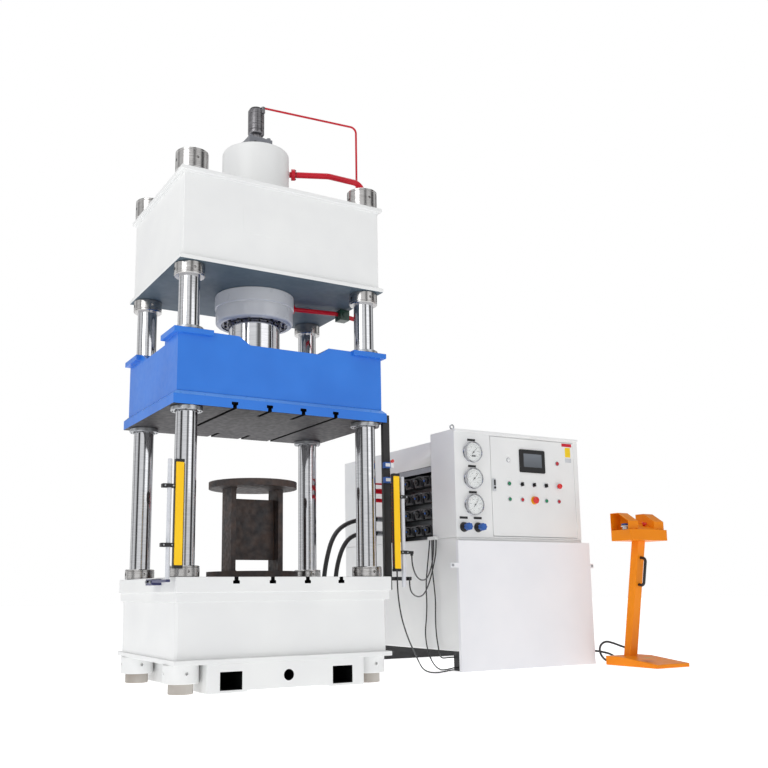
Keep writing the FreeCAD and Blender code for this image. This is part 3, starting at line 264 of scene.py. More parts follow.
ROUND = (1, 1, 14)       # lines that run round a piece standing along Z
ROUND_Y = (1, 14, 1)     # the same, for a piece along Y
FINISH = {
    "white": enamel("sprayed_white_enamel", "#eff0ef", "#e9eaea", 0.36, 3.0, 0.0, 0.1),
    "cover_white": enamel("powder_coated_white_sheet", "#f2f2f5", "#ecedf1", 0.42, 1.6, 0.0, 0.5),
    "cylinder_grey": enamel("sprayed_pale_grey_enamel", "#d2d4d8", "#c6c8cd", 0.3),
    # painted shadow: a dark blue-grey for the crown's underside, in place of its shade
    "shadow_grey": enamel("painted_underside_shadow_grey", "#5a6873", "#4a5963", 0.5, coat=0.0, ior=1.3),
    "blue": enamel("sprayed_blue_enamel", "#317cdd", "#2a72d2", 0.35, 3.0, 0.1, 0.6, 1.35),
    # painted highlight: a paler blue for the platen's upward bevel, where light catches it
    "blue_edge": enamel("blue_enamel_painted_highlight", "#63a0ee", "#4c8be2", 0.3, 3.0, 0.3, 0.6, 1.4),
    "orange": enamel("powder_coated_orange", "#f59012", "#ea8408", 0.4, 1.6, 0.0, 0.3, 1.28),
    "yellow": enamel("powder_coated_yellow", "#ffd028", "#fcc61c", 0.4, 1.2, 0.0, 0.1, 1.3),
    "red": enamel("sprayed_red_enamel", "#cc1029", "#ba0b22", 0.3, 2.0, 0.1, 0.2, 1.35),
    "green": enamel("sprayed_dark_green_enamel", "#0c3a2b", "#082c20", 0.35, 2.0, 0.2, 0.2),
    "grey": enamel("hammer_grey_enamel", "#7b7d84", "#6c6e75", 0.38, 5.0, 0.2, 0.4),
    "navy": enamel("sprayed_navy_enamel", "#2c2f63", "#232650", 0.35, 2.5, 0.2, 0.2),
    "bay_grey": enamel("dark_grey_valve_enamel", "#3b3c40", "#2e2f32", 0.4, 2.0, 0.1, 0.2),
    "black": enamel("satin_black_paint", "#1c1c1e", "#141416", 0.45, 2.0, 0.0, 0.3),
    "chrome": ground_steel("ground_hard_chrome", "#d4d5d8", "#c3c4c8", 0.07, ROUND, depth=0.002),
    "bright": ground_steel("turned_bright_steel", "#c2c1c0", "#adabaa", 0.2, ROUND, depth=0.006),
    "rim": ground_steel("polished_stainless_rim", "#c9cacd", "#b5b6ba", 0.12, ROUND_Y, depth=0.004),
    "valve_steel": ground_steel("phosphated_turned_steel", "#8b8a8d", "#6d6b6e", 0.28, ROUND,
                                depth=0.004),
    "zinc": ground_steel("zinc_plated_steel", "#b9bbbe", "#9fa2a6", 0.3, (3, 3, 3)),
    "foot": enamel("scuffed_white_enamel_foot", "#d6d2cc", "#8e847a", 0.5, 4.0, 0.0, 0.8),
    # planed steel painted darker than bare steel, as the shade under the slide
    "planed": machined_plate("planed_steel_painted_shade", "#3d3a3d", "#2c2a2d", 0.5),
    # painted shade: near-black for the insides of T-slots, fork pockets and the sight hole
    "slot": enamel("black_recess_painted_shade", "#121214", "#0a0a0b", 0.7, 4.0, 0.0, 0.2, 1.2),
    "table": machined_plate("ground_table_steel", "#aeb0b3", "#96989b", 0.28),
    "block": machined_plate("milled_manifold_steel", "#7f8184", "#66686b", 0.4, 12),
    "scale": mill_scale("hot_rolled_mill_scale"),
    "weld": ground_steel("dull_weld_metal", "#5a4a42", "#3c322d", 0.5, (1, 1, 1)),
    "abs_black": moulded("moulded_black_abs", "#1a1a1c", "#121214"),
    "abs_grey": moulded("moulded_grey_abs", "#44484e", "#3b3f45"),
    "abs_duct": moulded("moulded_grey_duct", "#a3a6ab", "#94979c", 0.45),
    "abs_white": moulded("moulded_white_abs", "#e6e8ea", "#dcdee1", 0.35),
    "abs_blue": moulded("moulded_blue_polyamide", "#2c5fae", "#24529a", 0.4),
    "lens_green": moulded("moulded_green_acrylic", "#0c8a5a", "#08744b", 0.2, 2.0, 0.5),
    "lens_red": moulded("moulded_red_acrylic", "#c01a2c", "#a81424", 0.2, 2.0, 0.5),
    "lens_white": moulded("moulded_white_acrylic", "#eef0f0", "#e2e4e5", 0.2, 2.0, 0.5),
    "cap_red": moulded("moulded_red_polycarbonate", "#e0201f", "#cf1a1a", 0.25, 2.0, 0.4),
    "cap_yellow": moulded("moulded_yellow_polycarbonate", "#f6b21a", "#eca60e", 0.3, 2.0, 0.3),
    "print_white": moulded("printed_white_dial", "#f4f5f4", "#eceeed", 0.5, 3.0),
    "print_grey": moulded("printed_pale_grey_label", "#cfd2d6", "#c3c6ca", 0.5, 3.0),
    "print_black": moulded("printed_black_label", "#202124", "#18191c", 0.45, 3.0),
    "print_yellow": moulded("printed_yellow_label", "#f7d21c", "#efc810", 0.45, 3.0),
    "print_red": moulded("printed_red_label", "#cf1730", "#c21229", 0.45, 3.0),
    "sticker": moulded("printed_straw_label", "#c9a24a", "#b98f38", 0.5, 3.0),
    "hose": rubber("wrapped_hose_rubber", "#232426", "#191a1c", 0.5, 3.0),
    "jacket": rubber("black_pvc_jacket", "#26272a", "#1c1d20", 0.42, 6.0),
    "seal": rubber("black_nitrile_seal", "#1b1b1c", "#131314", 0.55, 2.0),
    "tube_clear": moulded("milky_aluminium_tube", "#d9dbe0", "#cbced4", 0.3, 4.0),
    "glass": clear("clear_dial_glass", "#f2f6f6", 0.01),
    "display": screen_face("dark_display_glass_painted_reflection"),
}


# ---------------------------------------------------------------- shapes
class Shape:
    """Closed solids in millimetres, gathered into one mesh."""

    def __init__(self):
        self.mesh = bmesh.new()

    def keep(self, solid, paint, matrix=None):
        """Adds a solid, turned and moved by the matrix, in the piece's paint of that number."""
        for face in solid.faces:
            face.material_index = paint
        if matrix:
            solid.transform(matrix)
        part = bpy.data.meshes.new("part")
        solid.to_mesh(part)
        solid.free()
        self.mesh.from_mesh(part)
        bpy.data.meshes.remove(part)
        return self

    def block(self, low, high, edge=1.0, paint=0, matrix=None):
        """A block between two corners with rounded edges."""
        solid = bmesh.new()
        bmesh.ops.create_cube(solid, size=1)
        low, high = Vector(low), Vector(high)
        size = high - low
        solid.transform(Matrix.Translation((low + high) / 2) @ Matrix.Diagonal((*size, 1)))
        if edge:
            bmesh.ops.bevel(solid, geom=solid.edges, offset=min(edge, min(size) * 0.45),
                            segments=2, profile=0.5, affect="EDGES")
        return self.keep(solid, paint, matrix)

    def turned(self, profile, place=(0, 0, 0), along=UP, sides=48, paint=0, matrix=None):
        """Turns (radius, height) points about an axis. A profile that leaves the axis
        closes on itself, as a ring's does."""
        solid = bmesh.new()
        angles = [2 * math.pi * side / sides for side in range(sides)]
        rings = []
        for radius, height in profile:
            if radius:
                rings.append([solid.verts.new(
                    (radius * math.cos(angle), radius * math.sin(angle), height))
                    for angle in angles])
            else:
                rings.append([solid.verts.new((0, 0, height))])
        bands = list(zip(rings, rings[1:]))
        if profile[0][0] and profile[-1][0]:
            bands.append((rings[-1], rings[0]))
        for lower, upper in bands:
            for side in range(sides):
                after = (side + 1) % sides
                corners = dict.fromkeys([lower[side % len(lower)], lower[after % len(lower)],
                                         upper[after % len(upper)], upper[side % len(upper)]])
                if len(corners) > 2:
                    solid.faces.new(list(corners))
        heading = UP.rotation_difference(Vector(along)).to_matrix().to_4x4()
        placed = Matrix.Translation(place) @ heading
        return self.keep(solid, paint, matrix @ placed if matrix else placed)

    def disc(self, radius, low, high, place=(0, 0, 0), along=UP, edge=1.0, sides=32, paint=0):
        """A round bar or plate from low to high along its axis, with broken edges."""
        edge = min(edge, radius * 0.4, (high - low) * 0.4)
        return self.turned([(0, low), (radius - edge, low), (radius, low + edge),
                            (radius, high - edge), (radius - edge, high), (0, high)],
                           place, along, sides, paint)

    def ring(self, inner, outer, low, high, place=(0, 0, 0), along=UP, edge=1.0, sides=48, paint=0):
        """A washer or tube from low to high along its axis."""
        edge = min(edge, (outer - inner) * 0.4, (high - low) * 0.4)
        return self.turned([(inner, low), (outer - edge, low), (outer, low + edge),
                            (outer, high - edge), (outer - edge, high), (inner, high)],
                           place, along, sides, paint)

    def prism(self, outline, low, high, axis="z", edge=0.0, paint=0, matrix=None):
        """An outline in the plane across the axis, from low to high along it."""
        solid = bmesh.new()
        lay = {"x": lambda across, rise, along: (along, across, rise),
               "y": lambda across, rise, along: (across, along, rise),
               "z": lambda across, rise, along: (across, rise, along)}[axis]
        ends = [[solid.verts.new(lay(across, rise, along)) for across, rise in outline]
                for along in (low, high)]
        solid.faces.new(ends[0])
        solid.faces.new(ends[1])
        for here in range(len(outline)):
            after = (here + 1) % len(outline)
            solid.faces.new((ends[0][here], ends[0][after], ends[1][after], ends[1][here]))
        bmesh.ops.recalc_face_normals(solid, faces=solid.faces)
        if edge:
            sharp = [line for line in solid.edges if line.calc_face_angle(0) > math.radians(30)]
            bmesh.ops.bevel(solid, geom=sharp, offset=edge, segments=2, profile=0.5, affect="EDGES")
        return self.keep(solid, paint, matrix)

    def numeral(self, text, height, matrix, paint=0):
        """A plain number, cut from thin film."""
        letters = bpy.data.curves.new("numeral", "FONT")
        letters.body = text
        letters.size = height
        letters.extrude = 0.15
        letters.align_x = "CENTER"
        letters.align_y = "CENTER"
        carrier = new_object("numeral", letters)
        bpy.context.view_layer.update()
        flat = bpy.data.meshes.new_from_object(carrier)
        solid = bmesh.new()
        solid.from_mesh(flat)
        bmesh.ops.remove_doubles(solid, verts=solid.verts, dist=0.001)
        bpy.data.objects.remove(carrier)
        return self.keep(solid, paint, matrix)

    def to_mesh(self, name):
        """The plain mesh in metres, with its faces outwards."""
        bmesh.ops.recalc_face_normals(self.mesh, faces=self.mesh.faces)
        self.mesh.transform(Matrix.Scale(MM, 4))
        made = bpy.data.meshes.new(name)
        self.mesh.to_mesh(made)
        self.mesh.free()
        return made

    def finish(self, name, body, *paints, slot=None, replaces=(), carve=None):
        return finish(name, self.to_mesh(name), body, paints, slot, replaces, carve)


CREASE = math.radians(32)    # faces that meet at more than this keep a sharp line


def settle(piece):
    """Keeps what the modifiers make as the piece's plain mesh."""
    bpy.context.view_layer.update()
    evaluated = piece.evaluated_get(bpy.context.evaluated_depsgraph_get())
    made = bpy.data.meshes.new_from_object(evaluated)
    piece.modifiers.clear()
    piece.data = made
    return piece


def finish(name, mesh, body, paints, slot=None, replaces=(), carve=None):
    """Makes a mesh into a piece: its holes cut, its faces smoothed and painted."""
    if not mesh.materials:
        for paint in paints:
            mesh.materials.append(FINISH[paint])
    piece = new_object(name, mesh)
    if carve:
        cutter = new_object("cutter", carve.to_mesh("cutter"))
        step = piece.modifiers.new("carve", "BOOLEAN")
        step.object = cutter
        step.solver = "EXACT"
        settle(piece)
        bpy.data.objects.remove(cutter)
    piece.data.shade_smooth()
    piece.data.set_sharp_from_angle(angle=CREASE)
    step = piece.modifiers.new("even_normals", "WEIGHTED_NORMAL")
    step.keep_sharp = True
    step.weight = 100
    settle(piece)
    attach(piece, body)
    if replaces:
        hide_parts(*([replaces] if isinstance(replaces, str) else replaces))
    return piece


def softened(node, name, edge, *paints, choose=None, shortest=60, careful=False):
    """A CAD node's own shape with its long edges rounded as a grinder leaves them. An
    edge of 0 leaves them as they are.

    choose gives the number of the paint for a face from its middle and its normal."""
    source = frame["nodes"][node]
    shape = Shape()
    solid = bmesh.new()
    solid.from_mesh(source.data)
    solid.transform(Matrix.Scale(1 / MM, 4))
    bmesh.ops.remove_doubles(solid, verts=solid.verts, dist=0.01)
    if edge:
        bmesh.ops.dissolve_limit(solid, angle_limit=math.radians(0.4), verts=solid.verts,
                                 edges=solid.edges)
    sharp = [line for line in solid.edges
             if len(line.link_faces) == 2 and line.calc_face_angle() > math.radians(35)
             and line.calc_length() >= shortest]
    if edge:
        bmesh.ops.bevel(solid, geom=sharp, offset=edge, segments=3, profile=0.5,
                        affect="EDGES", clamp_overlap=careful)
    shape.keep(solid, 0)
    if choose:
        bmesh.ops.recalc_face_normals(shape.mesh, faces=shape.mesh.faces)
        shape.mesh.normal_update()
        for face in shape.mesh.faces:
            face.material_index = choose(face.calc_center_median(), face.normal)
    return shape.finish(name, source["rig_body"], *paints, replaces=node, slot=slot_of(node))


def slot_of(node):
    """The record's material slot of a CAD node."""
    for part in frame["record"].get("subparts", []):
        if part.get("node") == node:
            return part.get("material_slot")
    return None


# ---------------------------------------------------------------- node trees for what repeats
def start_tree(name, *inputs):
    """A tree with a carrier, its own named inputs and a material."""
    tree = bpy.data.node_groups.new(name, "GeometryNodeTree")
    tree.interface.new_socket("Geometry", in_out="INPUT", socket_type="NodeSocketGeometry")
    for label, kind in inputs + (("Material", "NodeSocketMaterial"),):
        tree.interface.new_socket(label, in_out="INPUT", socket_type=kind)
    tree.interface.new_socket("Geometry", in_out="OUTPUT", socket_type="NodeSocketGeometry")
    return tree, add(tree, "NodeGroupInput").outputs


def end_tree(tree, given, geometry):
    """Makes the result real and paints it."""
    real = add(tree, "GeometryNodeRealizeInstances", {"Geometry": geometry})
    painted = add(tree, "GeometryNodeSetMaterial",
                  {"Geometry": real.outputs[0], "Material": given["Material"]})
    add(tree, "NodeGroupOutput", {"Geometry": painted.outputs[0]})
    return tree


def places_tree():
    """The part on every point of the carrier."""
    tree, given = start_tree("parts_at_places", ("Part", "NodeSocketObject"),
                             ("Scale", "NodeSocketFloat"))
    part = add(tree, "GeometryNodeObjectInfo", {"Object": given["Part"]})
    laid = add(tree, "GeometryNodeInstanceOnPoints", {
        "Points": given["Geometry"], "Instance": part.outputs["Geometry"], "Scale": given["Scale"]})
    return end_tree(tree, given, laid.outputs[0])


def round_tree():
    """The part turned about an axis in even steps, at every point of the carrier."""
    tree, given = start_tree("parts_round_an_axis", ("Part", "NodeSocketObject"),
                             ("Count", "NodeSocketInt"), ("First Angle", "NodeSocketFloat"),
                             ("Step Angle", "NodeSocketFloat"), ("Axis", "NodeSocketVector"))
    part = add(tree, "GeometryNodeObjectInfo", {"Object": given["Part"]})
    line = add(tree, "GeometryNodeMeshLine", {"Count": given["Count"], "Offset": (0, 0, 0)})
    index = add(tree, "GeometryNodeInputIndex")
    steps = add(tree, "ShaderNodeMath", {0: index.outputs[0], 1: given["Step Angle"],
                                         2: given["First Angle"]}, operation="MULTIPLY_ADD")
    turn = add(tree, "FunctionNodeAxisAngleToRotation", {"Axis": given["Axis"],
                                                         "Angle": steps.outputs[0]})
    wheel = add(tree, "GeometryNodeInstanceOnPoints", {
        "Points": line.outputs[0], "Instance": part.outputs["Geometry"],
        "Rotation": turn.outputs[0]})
    laid = add(tree, "GeometryNodeInstanceOnPoints",
               {"Points": given["Geometry"], "Instance": wheel.outputs[0]})
    return end_tree(tree, given, laid.outputs[0])


def pipe_tree():
    """A bent pipe along the carrier's line, its corners bent to one radius."""
    tree, given = start_tree("bent_pipe", ("Pipe Radius", "NodeSocketFloat"),
                             ("Bend Radius", "NodeSocketFloat"), ("Sides", "NodeSocketInt"))
    line = add(tree, "GeometryNodeMeshToCurve", {"Mesh": given["Geometry"]})
    bent = add(tree, "GeometryNodeFilletCurve", {"Curve": line.outputs[0], "Count": 14,
                                                 "Radius": given["Bend Radius"]}, mode="POLY")
    ring = add(tree, "GeometryNodeCurvePrimitiveCircle", {"Resolution": given["Sides"],
                                                          "Radius": given["Pipe Radius"]})
    swept = add(tree, "GeometryNodeCurveToMesh", {"Curve": bent.outputs[0],
                                                  "Profile Curve": ring.outputs[0],
                                                  "Fill Caps": True})
    return end_tree(tree, given, swept.outputs[0])


def bead_tree():
    """A hand-laid weld: overlapping puddles along the carrier's line, sizes a little uneven."""
    tree, given = start_tree("weld_bead", ("Bead Radius", "NodeSocketFloat"),
                             ("Pitch", "NodeSocketFloat"), ("Seed", "NodeSocketInt"))
    line = add(tree, "GeometryNodeMeshToCurve", {"Mesh": given["Geometry"]})
    points = add(tree, "GeometryNodeCurveToPoints", {"Curve": line.outputs[0],
                                                     "Length": given["Pitch"]}, mode="LENGTH")
    puddle = add(tree, "GeometryNodeMeshIcoSphere",
                 {"Radius": given["Bead Radius"], "Subdivisions": 2})
    smallest, largest = 2, 3             # the node's sockets for its range of floats
    uneven = add(tree, "FunctionNodeRandomValue",
                 {smallest: 0.85, largest: 1.1, "Seed": given["Seed"]}, data_type="FLOAT")
    laid = add(tree, "GeometryNodeInstanceOnPoints", {
        "Points": points.outputs["Points"], "Instance": puddle.outputs[0],
        "Rotation": points.outputs["Rotation"], "Scale": uneven.outputs[1]})
    return end_tree(tree, given, laid.outputs[0])


TREES = {"places": places_tree(), "round": round_tree(), "pipe": pipe_tree(), "bead": bead_tree()}


def grow(name, tree, places, body, paint, line=False, part=None, slot=None, replaces=(), **inputs):
    """Runs a tree on a carrier made of places in millimetres and keeps the plain mesh."""
    mesh = bpy.data.meshes.new(name)
    edges = [(here, here + 1) for here in range(len(places) - 1)] if line else []
    mesh.from_pydata([Vector(place) * MM for place in places], edges, [])
    carrier = new_object(name, mesh)
    if part:
        part = new_object("part", part.to_mesh("part"))
        inputs["Part"] = part
    inputs["Material"] = FINISH[paint]
    step = carrier.modifiers.new(name, "NODES")
    step.node_group = TREES[tree]
    for item in TREES[tree].interface.items_tree:
        if item.item_type == "SOCKET" and item.in_out == "INPUT" and item.name in inputs:
            step[item.identifier] = inputs[item.name]
    settle(carrier)
    made = carrier.data
    bpy.data.objects.remove(carrier)
    if part:
        bpy.data.objects.remove(part)
    return finish(name, made, body, [paint], slot, replaces)


def repeat(name, part, places, body, paint, **kept):
    """The part at every place."""
    return grow(name, "places", places, body, paint, part=part, Scale=1.0, **kept)


def around(name, part, places, body, paint, count, first=0.0, **kept):
    """The part in even steps round an upright axis through every place."""
    angles = {"First Angle": math.radians(first), "Step Angle": math.radians(360 / count)}
    return grow(name, "round", places, body, paint, part=part, Count=count, Axis=UP, **angles,
                **kept)


def pipe(name, route, radius, bend, body, paint, sides=24, **kept):
    """A bent pipe along the corners of its route."""
    sizes = {"Pipe Radius": radius * MM, "Bend Radius": bend * MM, "Sides": sides}
    return grow(name, "pipe", route, body, paint, line=True, **sizes, **kept)


def bead(name, route, radius, body, paint="weld", seed=1):
    """A weld bead along its route."""
    sizes = {"Bead Radius": radius * MM, "Pitch": radius * 0.8 * MM, "Seed": seed}
    return grow(name, "bead", route, body, paint, line=True, **sizes)


# ---------------------------------------------------------------- fasteners
def socket_screw(radius, height, place=(0, 0, 0), along=UP):
    """The round head of a socket screw with its recess."""
    return Shape().turned([(0, height * 0.4), (radius * 0.5, height * 0.4), (radius * 0.5, height),
                           (radius - 1, height), (radius, height - 1), (radius, 0), (0, 0)],
                          place, along, 20)


def hex_screw(across, height, place=(0, 0, 0), along=UP):
    """A hexagon head on its washer."""
    shape = Shape().disc(across * 0.66, 0, 2, place, along, 0.5, 24)
    return shape.turned([(0, 2), (across * 0.57, 2), (across * 0.57, height - 1.5),
                         (across * 0.48, height), (0, height)], place, along, 6)


# ---------------------------------------------------------------- columns, nuts and collars
COLUMN_X, COLUMN_Y = 588, 402
COLUMNS = [(COLUMN_X * x, COLUMN_Y * y, 0) for x in (-1, 1) for y in (-1, 1)]
BORE = 62.6              # a nut's hole over a column

shaft = Shape().turned([(0, 55), (62.5, 55), (62.5, 3112), (56.5, 3118), (16, 3118), (0, 3102)],
                       sides=80)
repeat("column_shafts", shaft, COLUMNS, "machine", "chrome", slot="hard_chrome", replaces="columns")
foot = Shape().turned([(0, 0), (66, 0), (68.5, 2.5), (68.5, 52), (66, 55), (0, 55)], sides=64)
repeat("column_feet", foot, COLUMNS, "machine", "foot", slot="hard_chrome", replaces="columns")


def ring_nuts(name, node, radius, low, high, hole_high, paint, slot, grooves=()):
    """Four turned nuts with the tommy-bar holes that they are tightened by."""
    profile = [(BORE, low), (radius - 4, low), (radius, low + 4)]
    for groove in grooves:
        profile += [(radius, groove - 2), (radius - 2.5, groove), (radius, groove + 2)]
    profile += [(radius, high - 4), (radius - 4, high), (BORE, high)]
    nuts, holes = Shape(), Shape()
    for x, y, _ in COLUMNS:
        nuts.turned(profile, (x, y, 0), sides=96)
        for along in (RIGHT, LEFT, (0, 1, 0), FRONT):
            holes.disc(9, radius - 18, radius + 20, (x, y, hole_high), along, 0, 24)
    nuts.finish(name, "machine", paint, slot=slot, replaces=node, carve=holes)


ring_nuts("foot_nuts", "column_nuts", 98, 56, 156, 111, "white", "turned_steel")
ring_nuts("crown_nuts", "column_nuts", 98, 3000, 3124, 3062, "bright", "turned_steel", (3108,))
ring_nuts("table_collars", "column_collars", 90, 620, 682, 651, "bright", "turned_steel", (672,))
ring_nuts("crown_collars", "column_collars", 90, 2350, 2425, 2387, "bright",
          "turned_steel", (2362,))


# ---------------------------------------------------------------- plinth, bed and crown
SLOT_LINES, SLOT_HALF = (110, 330), 21


def crown_paint(middle, normal):
    """The crown's underside is painted dark blue-grey as the shadow under the crown."""
    return 1 if normal.z < -0.7 and middle.z < 2500 else 0


def bed_paint(middle, normal):
    """The table is ground steel, and its T-slots are painted near-black as the shade inside them.
    """
    if normal.z > 0.9 and middle.z > 619:
        return 1
    in_slot = min(abs(abs(middle.x) - line) for line in SLOT_LINES) < SLOT_HALF
    return 2 if in_slot and middle.z > 575 and abs(middle.y) < 540 else 0


def plinth_paint(middle, normal):
    """Fork pockets and the sight hole are painted near-black as the shade inside them."""
    in_pocket = abs(abs(middle.x) - 345) < 65 and 15 < middle.z < 113
    in_hole = math.hypot(middle.x, middle.z - 79) < 32
    return 1 if (in_pocket or in_hole) and abs(middle.y) < 524 and abs(normal.y) < 0.9 else 0


softened("plinth", "plinth_casting", 4, "white", "slot", choose=plinth_paint)
softened("bed", "bed_weldment", 3, "white", "table", "slot", choose=bed_paint)
softened("crown", "crown_weldment", 5, "white", "shadow_grey", choose=crown_paint)
softened("bed_port_block", "drain_port_block", 1.5, "block", shortest=8)

Shape().block((-284, -479.6, 2660), (309, -478, 2820), 0.6).finish(
    "crown_name_plate", "machine", "white", slot="white_enamel")
for place, high in (("lower", 2455), ("upper", 2970)):
    bead(f"crown_{place}_weld",
         [(-662, 476, high), (-662, -480, high), (662, -480, high), (662, 476, high)],
         5, "machine", "white", 3)


# ---------------------------------------------------------------- main cylinder and ram
barrel = Shape().turned([(0, 3340), (176, 3340), (176, 2425), (222.5, 2425), (222.5, 3413),
                         (219, 3421), (211, 3424), (0, 3424)], sides=128)
barrel.finish("cylinder_barrel", "machine", "white", slot="white_enamel", replaces="main_cylinder")
flange = Shape().turned([(216, 2330), (246, 2330), (246, 2338), (252, 2338), (256, 2342),
                         (256, 2421), (252, 2425), (216, 2425)], sides=128)
flange.finish("cylinder_flange", "machine", "cylinder_grey", slot="white_enamel",
              replaces="main_cylinder")

gland = Shape().turned([(214, 2235), (234, 2235), (241, 2237.5), (247.5, 2244), (250, 2251),
                        (250, 2327), (248, 2330), (214, 2330)], sides=128)
gland.finish("gland_ring_rim", "machine", "cylinder_grey", slot="turned_steel",
             replaces="gland_ring")
packing = Shape().ring(166, 213.5, 2241, 2320, edge=4, sides=96)
packing.finish("gland_packing", "machine", "navy", slot="turned_steel", replaces="gland_ring")
Shape().ring(165.2, 172, 2236.5, 2243, edge=2.5, sides=96).finish(
    "ram_wiper", "machine", "seal", replaces="gland_ring")
PRESS_AXIS = [(0, 0, 0)]
around("gland_screws", socket_screw(9, 9, (190, 0, 2241), (0, 0, -1)), PRESS_AXIS,
       "machine", "black", 16, 11.25, replaces="gland_ring")

ram = Shape().turned([(0, 1969), (165, 1969), (165, 3126), (161, 3130), (0, 3130)], sides=128)
ram.finish("ram_shaft", "slide", "chrome", slot="hard_chrome", replaces="main_ram")
flange = Shape().turned([(165.1, 1968), (207, 1968), (210, 1971), (210, 1990), (206, 1994),
                         (165.1, 1994)], sides=96)
flange.finish("ram_flange", "slide", "bright", slot="hard_chrome", replaces="main_ram")
around("ram_flange_screws", hex_screw(22, 14, (188, 0, 1994)), PRESS_AXIS,
       "slide", "black", 12, 15, replaces="main_ram")


# ---------------------------------------------------------------- prefill valve
softened("prefill_block", "prefill_valve_block", 3, "grey", shortest=30)
repeat("prefill_block_screws", socket_screw(13.5, 13.5, (0, 0, 3525)),
       [(64 * x, 64 * y, 0) for x in (-1, 1) for y in (-1, 1)], "machine", "black",
       replaces="prefill_block")
plugs = Shape()
for across in (-40, 40):
    plugs.disc(13, 0, 3, (-84, across, 3480), LEFT, 1, 24)
    plugs.disc(13, 0, 3, (across, -84, 3480), FRONT, 1, 24)
plugs.finish("prefill_block_plugs", "machine", "black", replaces="prefill_block")
neck = [(0, 3525), (48, 3525), (48, 3531), (43, 3536), (40, 3560), (38, 3572), (50, 3578),
        (55, 3586), (55, 3600), (52, 3602), (52, 3606), (55, 3608), (55, 3640), (53, 3642),
        (53, 3645), (55, 3647)]
neck += [(55, 3716), (52.5, 3718), (52.5, 3722), (55, 3724), (55, 3748), (53, 3752), (0, 3752)]
valve = Shape().turned(neck, sides=72)
PORT, PILOT_PORT = (0, 0, 3559), (28, -52, 3752)
valve.disc(12, 30, 89, PORT, RIGHT, 2, 32).disc(16, 44, 60, PORT, RIGHT, 2, 6)
valve.disc(13, -30, 16, PILOT_PORT, UP, 2, 32).disc(15, -22, 0, PILOT_PORT, UP, 2, 6)
valve.finish("prefill_valve_body", "machine", "valve_steel", slot="turned_steel",
             replaces="prefill_valve")
cap = Shape().turned([(0, 3752), (46, 3752), (46, 3764), (42, 3769), (22, 3769), (20, 3765),
                      (0, 3765)], sides=64)
cap.finish("prefill_valve_cap", "machine", "black", slot="turned_steel", replaces="prefill_valve")


# ---------------------------------------------------------------- slide
def platen_paint(middle, normal):
    """Blue outside; planed steel underneath, painted darker as the shade under the slide;
    near-black inside the T-slots as painted shade; a paler blue on the upward bevel as a painted
    highlight.
    """
    if middle.z < 1576 and normal.z < -0.5:
        return 1
    if 0.3 < normal.z < 0.95 and middle.z > 1632:
        return 3
    outside = abs(middle.x) > 694 or abs(middle.y) > 489 or middle.z > 1655
    return 0 if outside else 2


softened("slide_body", "slide_weldment", 5, "blue", shortest=50, careful=True)
softened("slide_platen", "slide_platen_plate", 2, "blue", "planed", "slot", "blue_edge",
         choose=platen_paint, shortest=50)

SLIDE_BUSHES = (("foot", 91, 1550, 1575, -1), ("head", 88, 2022, 2040, 1))
for place, radius, low, high, side in SLIDE_BUSHES:
    rim = Shape().ring(63.2, radius, low, high, edge=2.5, sides=80)
    face = high if side > 0 else low
    repeat(f"bush_{place}_flanges", rim, COLUMNS, "slide", "zinc", slot="machined_steel",
           replaces="slide_bushes")
    wiper = Shape().ring(62.7, 70, face - 1.5, face + 1.5, edge=1.2, sides=64)
    repeat(f"bush_{place}_wipers", wiper, COLUMNS, "slide", "seal", replaces="slide_bushes")
    screw = socket_screw(4.5, 3, (79, 0, face), (0, 0, side))
    around(f"bush_{place}_screws", screw, COLUMNS, "slide", "black", 8, 22.5,
           replaces="slide_bushes")


# ---------------------------------------------------------------- fabricated stand on the table
softened("test_stand", "stand_weldment", 1.5, "scale", shortest=40)
for side in (-1, 1):
    x, inner = 142 * side, 138 * side
    for high in (663, 1169):
        bead(f"stand_leg_weld_{high}_{'right' if side > 0 else 'left'}",
             [(x - 3 * side, -72, high), (x - 3 * side, -15, high)], 4, "machine", seed=high)
    for y in (-14, 14):
        bead(f"stand_web_weld_{'right' if side > 0 else 'left'}_{'rear' if y > 0 else 'front'}",
             [(inner, y, 736), (inner, y, 1104)], 3.5, "machine", seed=5)


# ---------------------------------------------------------------- guards round the table
rail = Shape().block((708, -424, 540), (758, -396, 1640), 3)
rail.block((675, -424, 545), (708, -396, 612), 2)
rail.finish("switch_rail_bar", "machine", "black", slot="black_paint", replaces="switch_rail")
for place, low in (("lower", 1202), ("upper", 1296)):
    Shape().block((700, -456, low), (742, -424, low + 36), 2).finish(
        f"{place}_switch_case", "machine", "abs_blue", slot="blue_plastic", replaces="switch_rail")
    face = Shape().block((742, -455, low + 2), (766, -425, low + 34), 2)
    face.block((704, -456.6, low + 8), (738, -456, low + 28), 0.2)
    face.finish(f"{place}_switch_face", "machine", "abs_white", replaces="switch_rail")
    lever = Shape().block((752, -446, low + 34), (758, -434, low + 52), 1.5)
    lever.disc(11, 0, 12, (760, -440, low + 47), RIGHT, 2, 32)
    lever.finish(f"{place}_switch_roller", "machine", "cap_red", replaces="switch_rail")

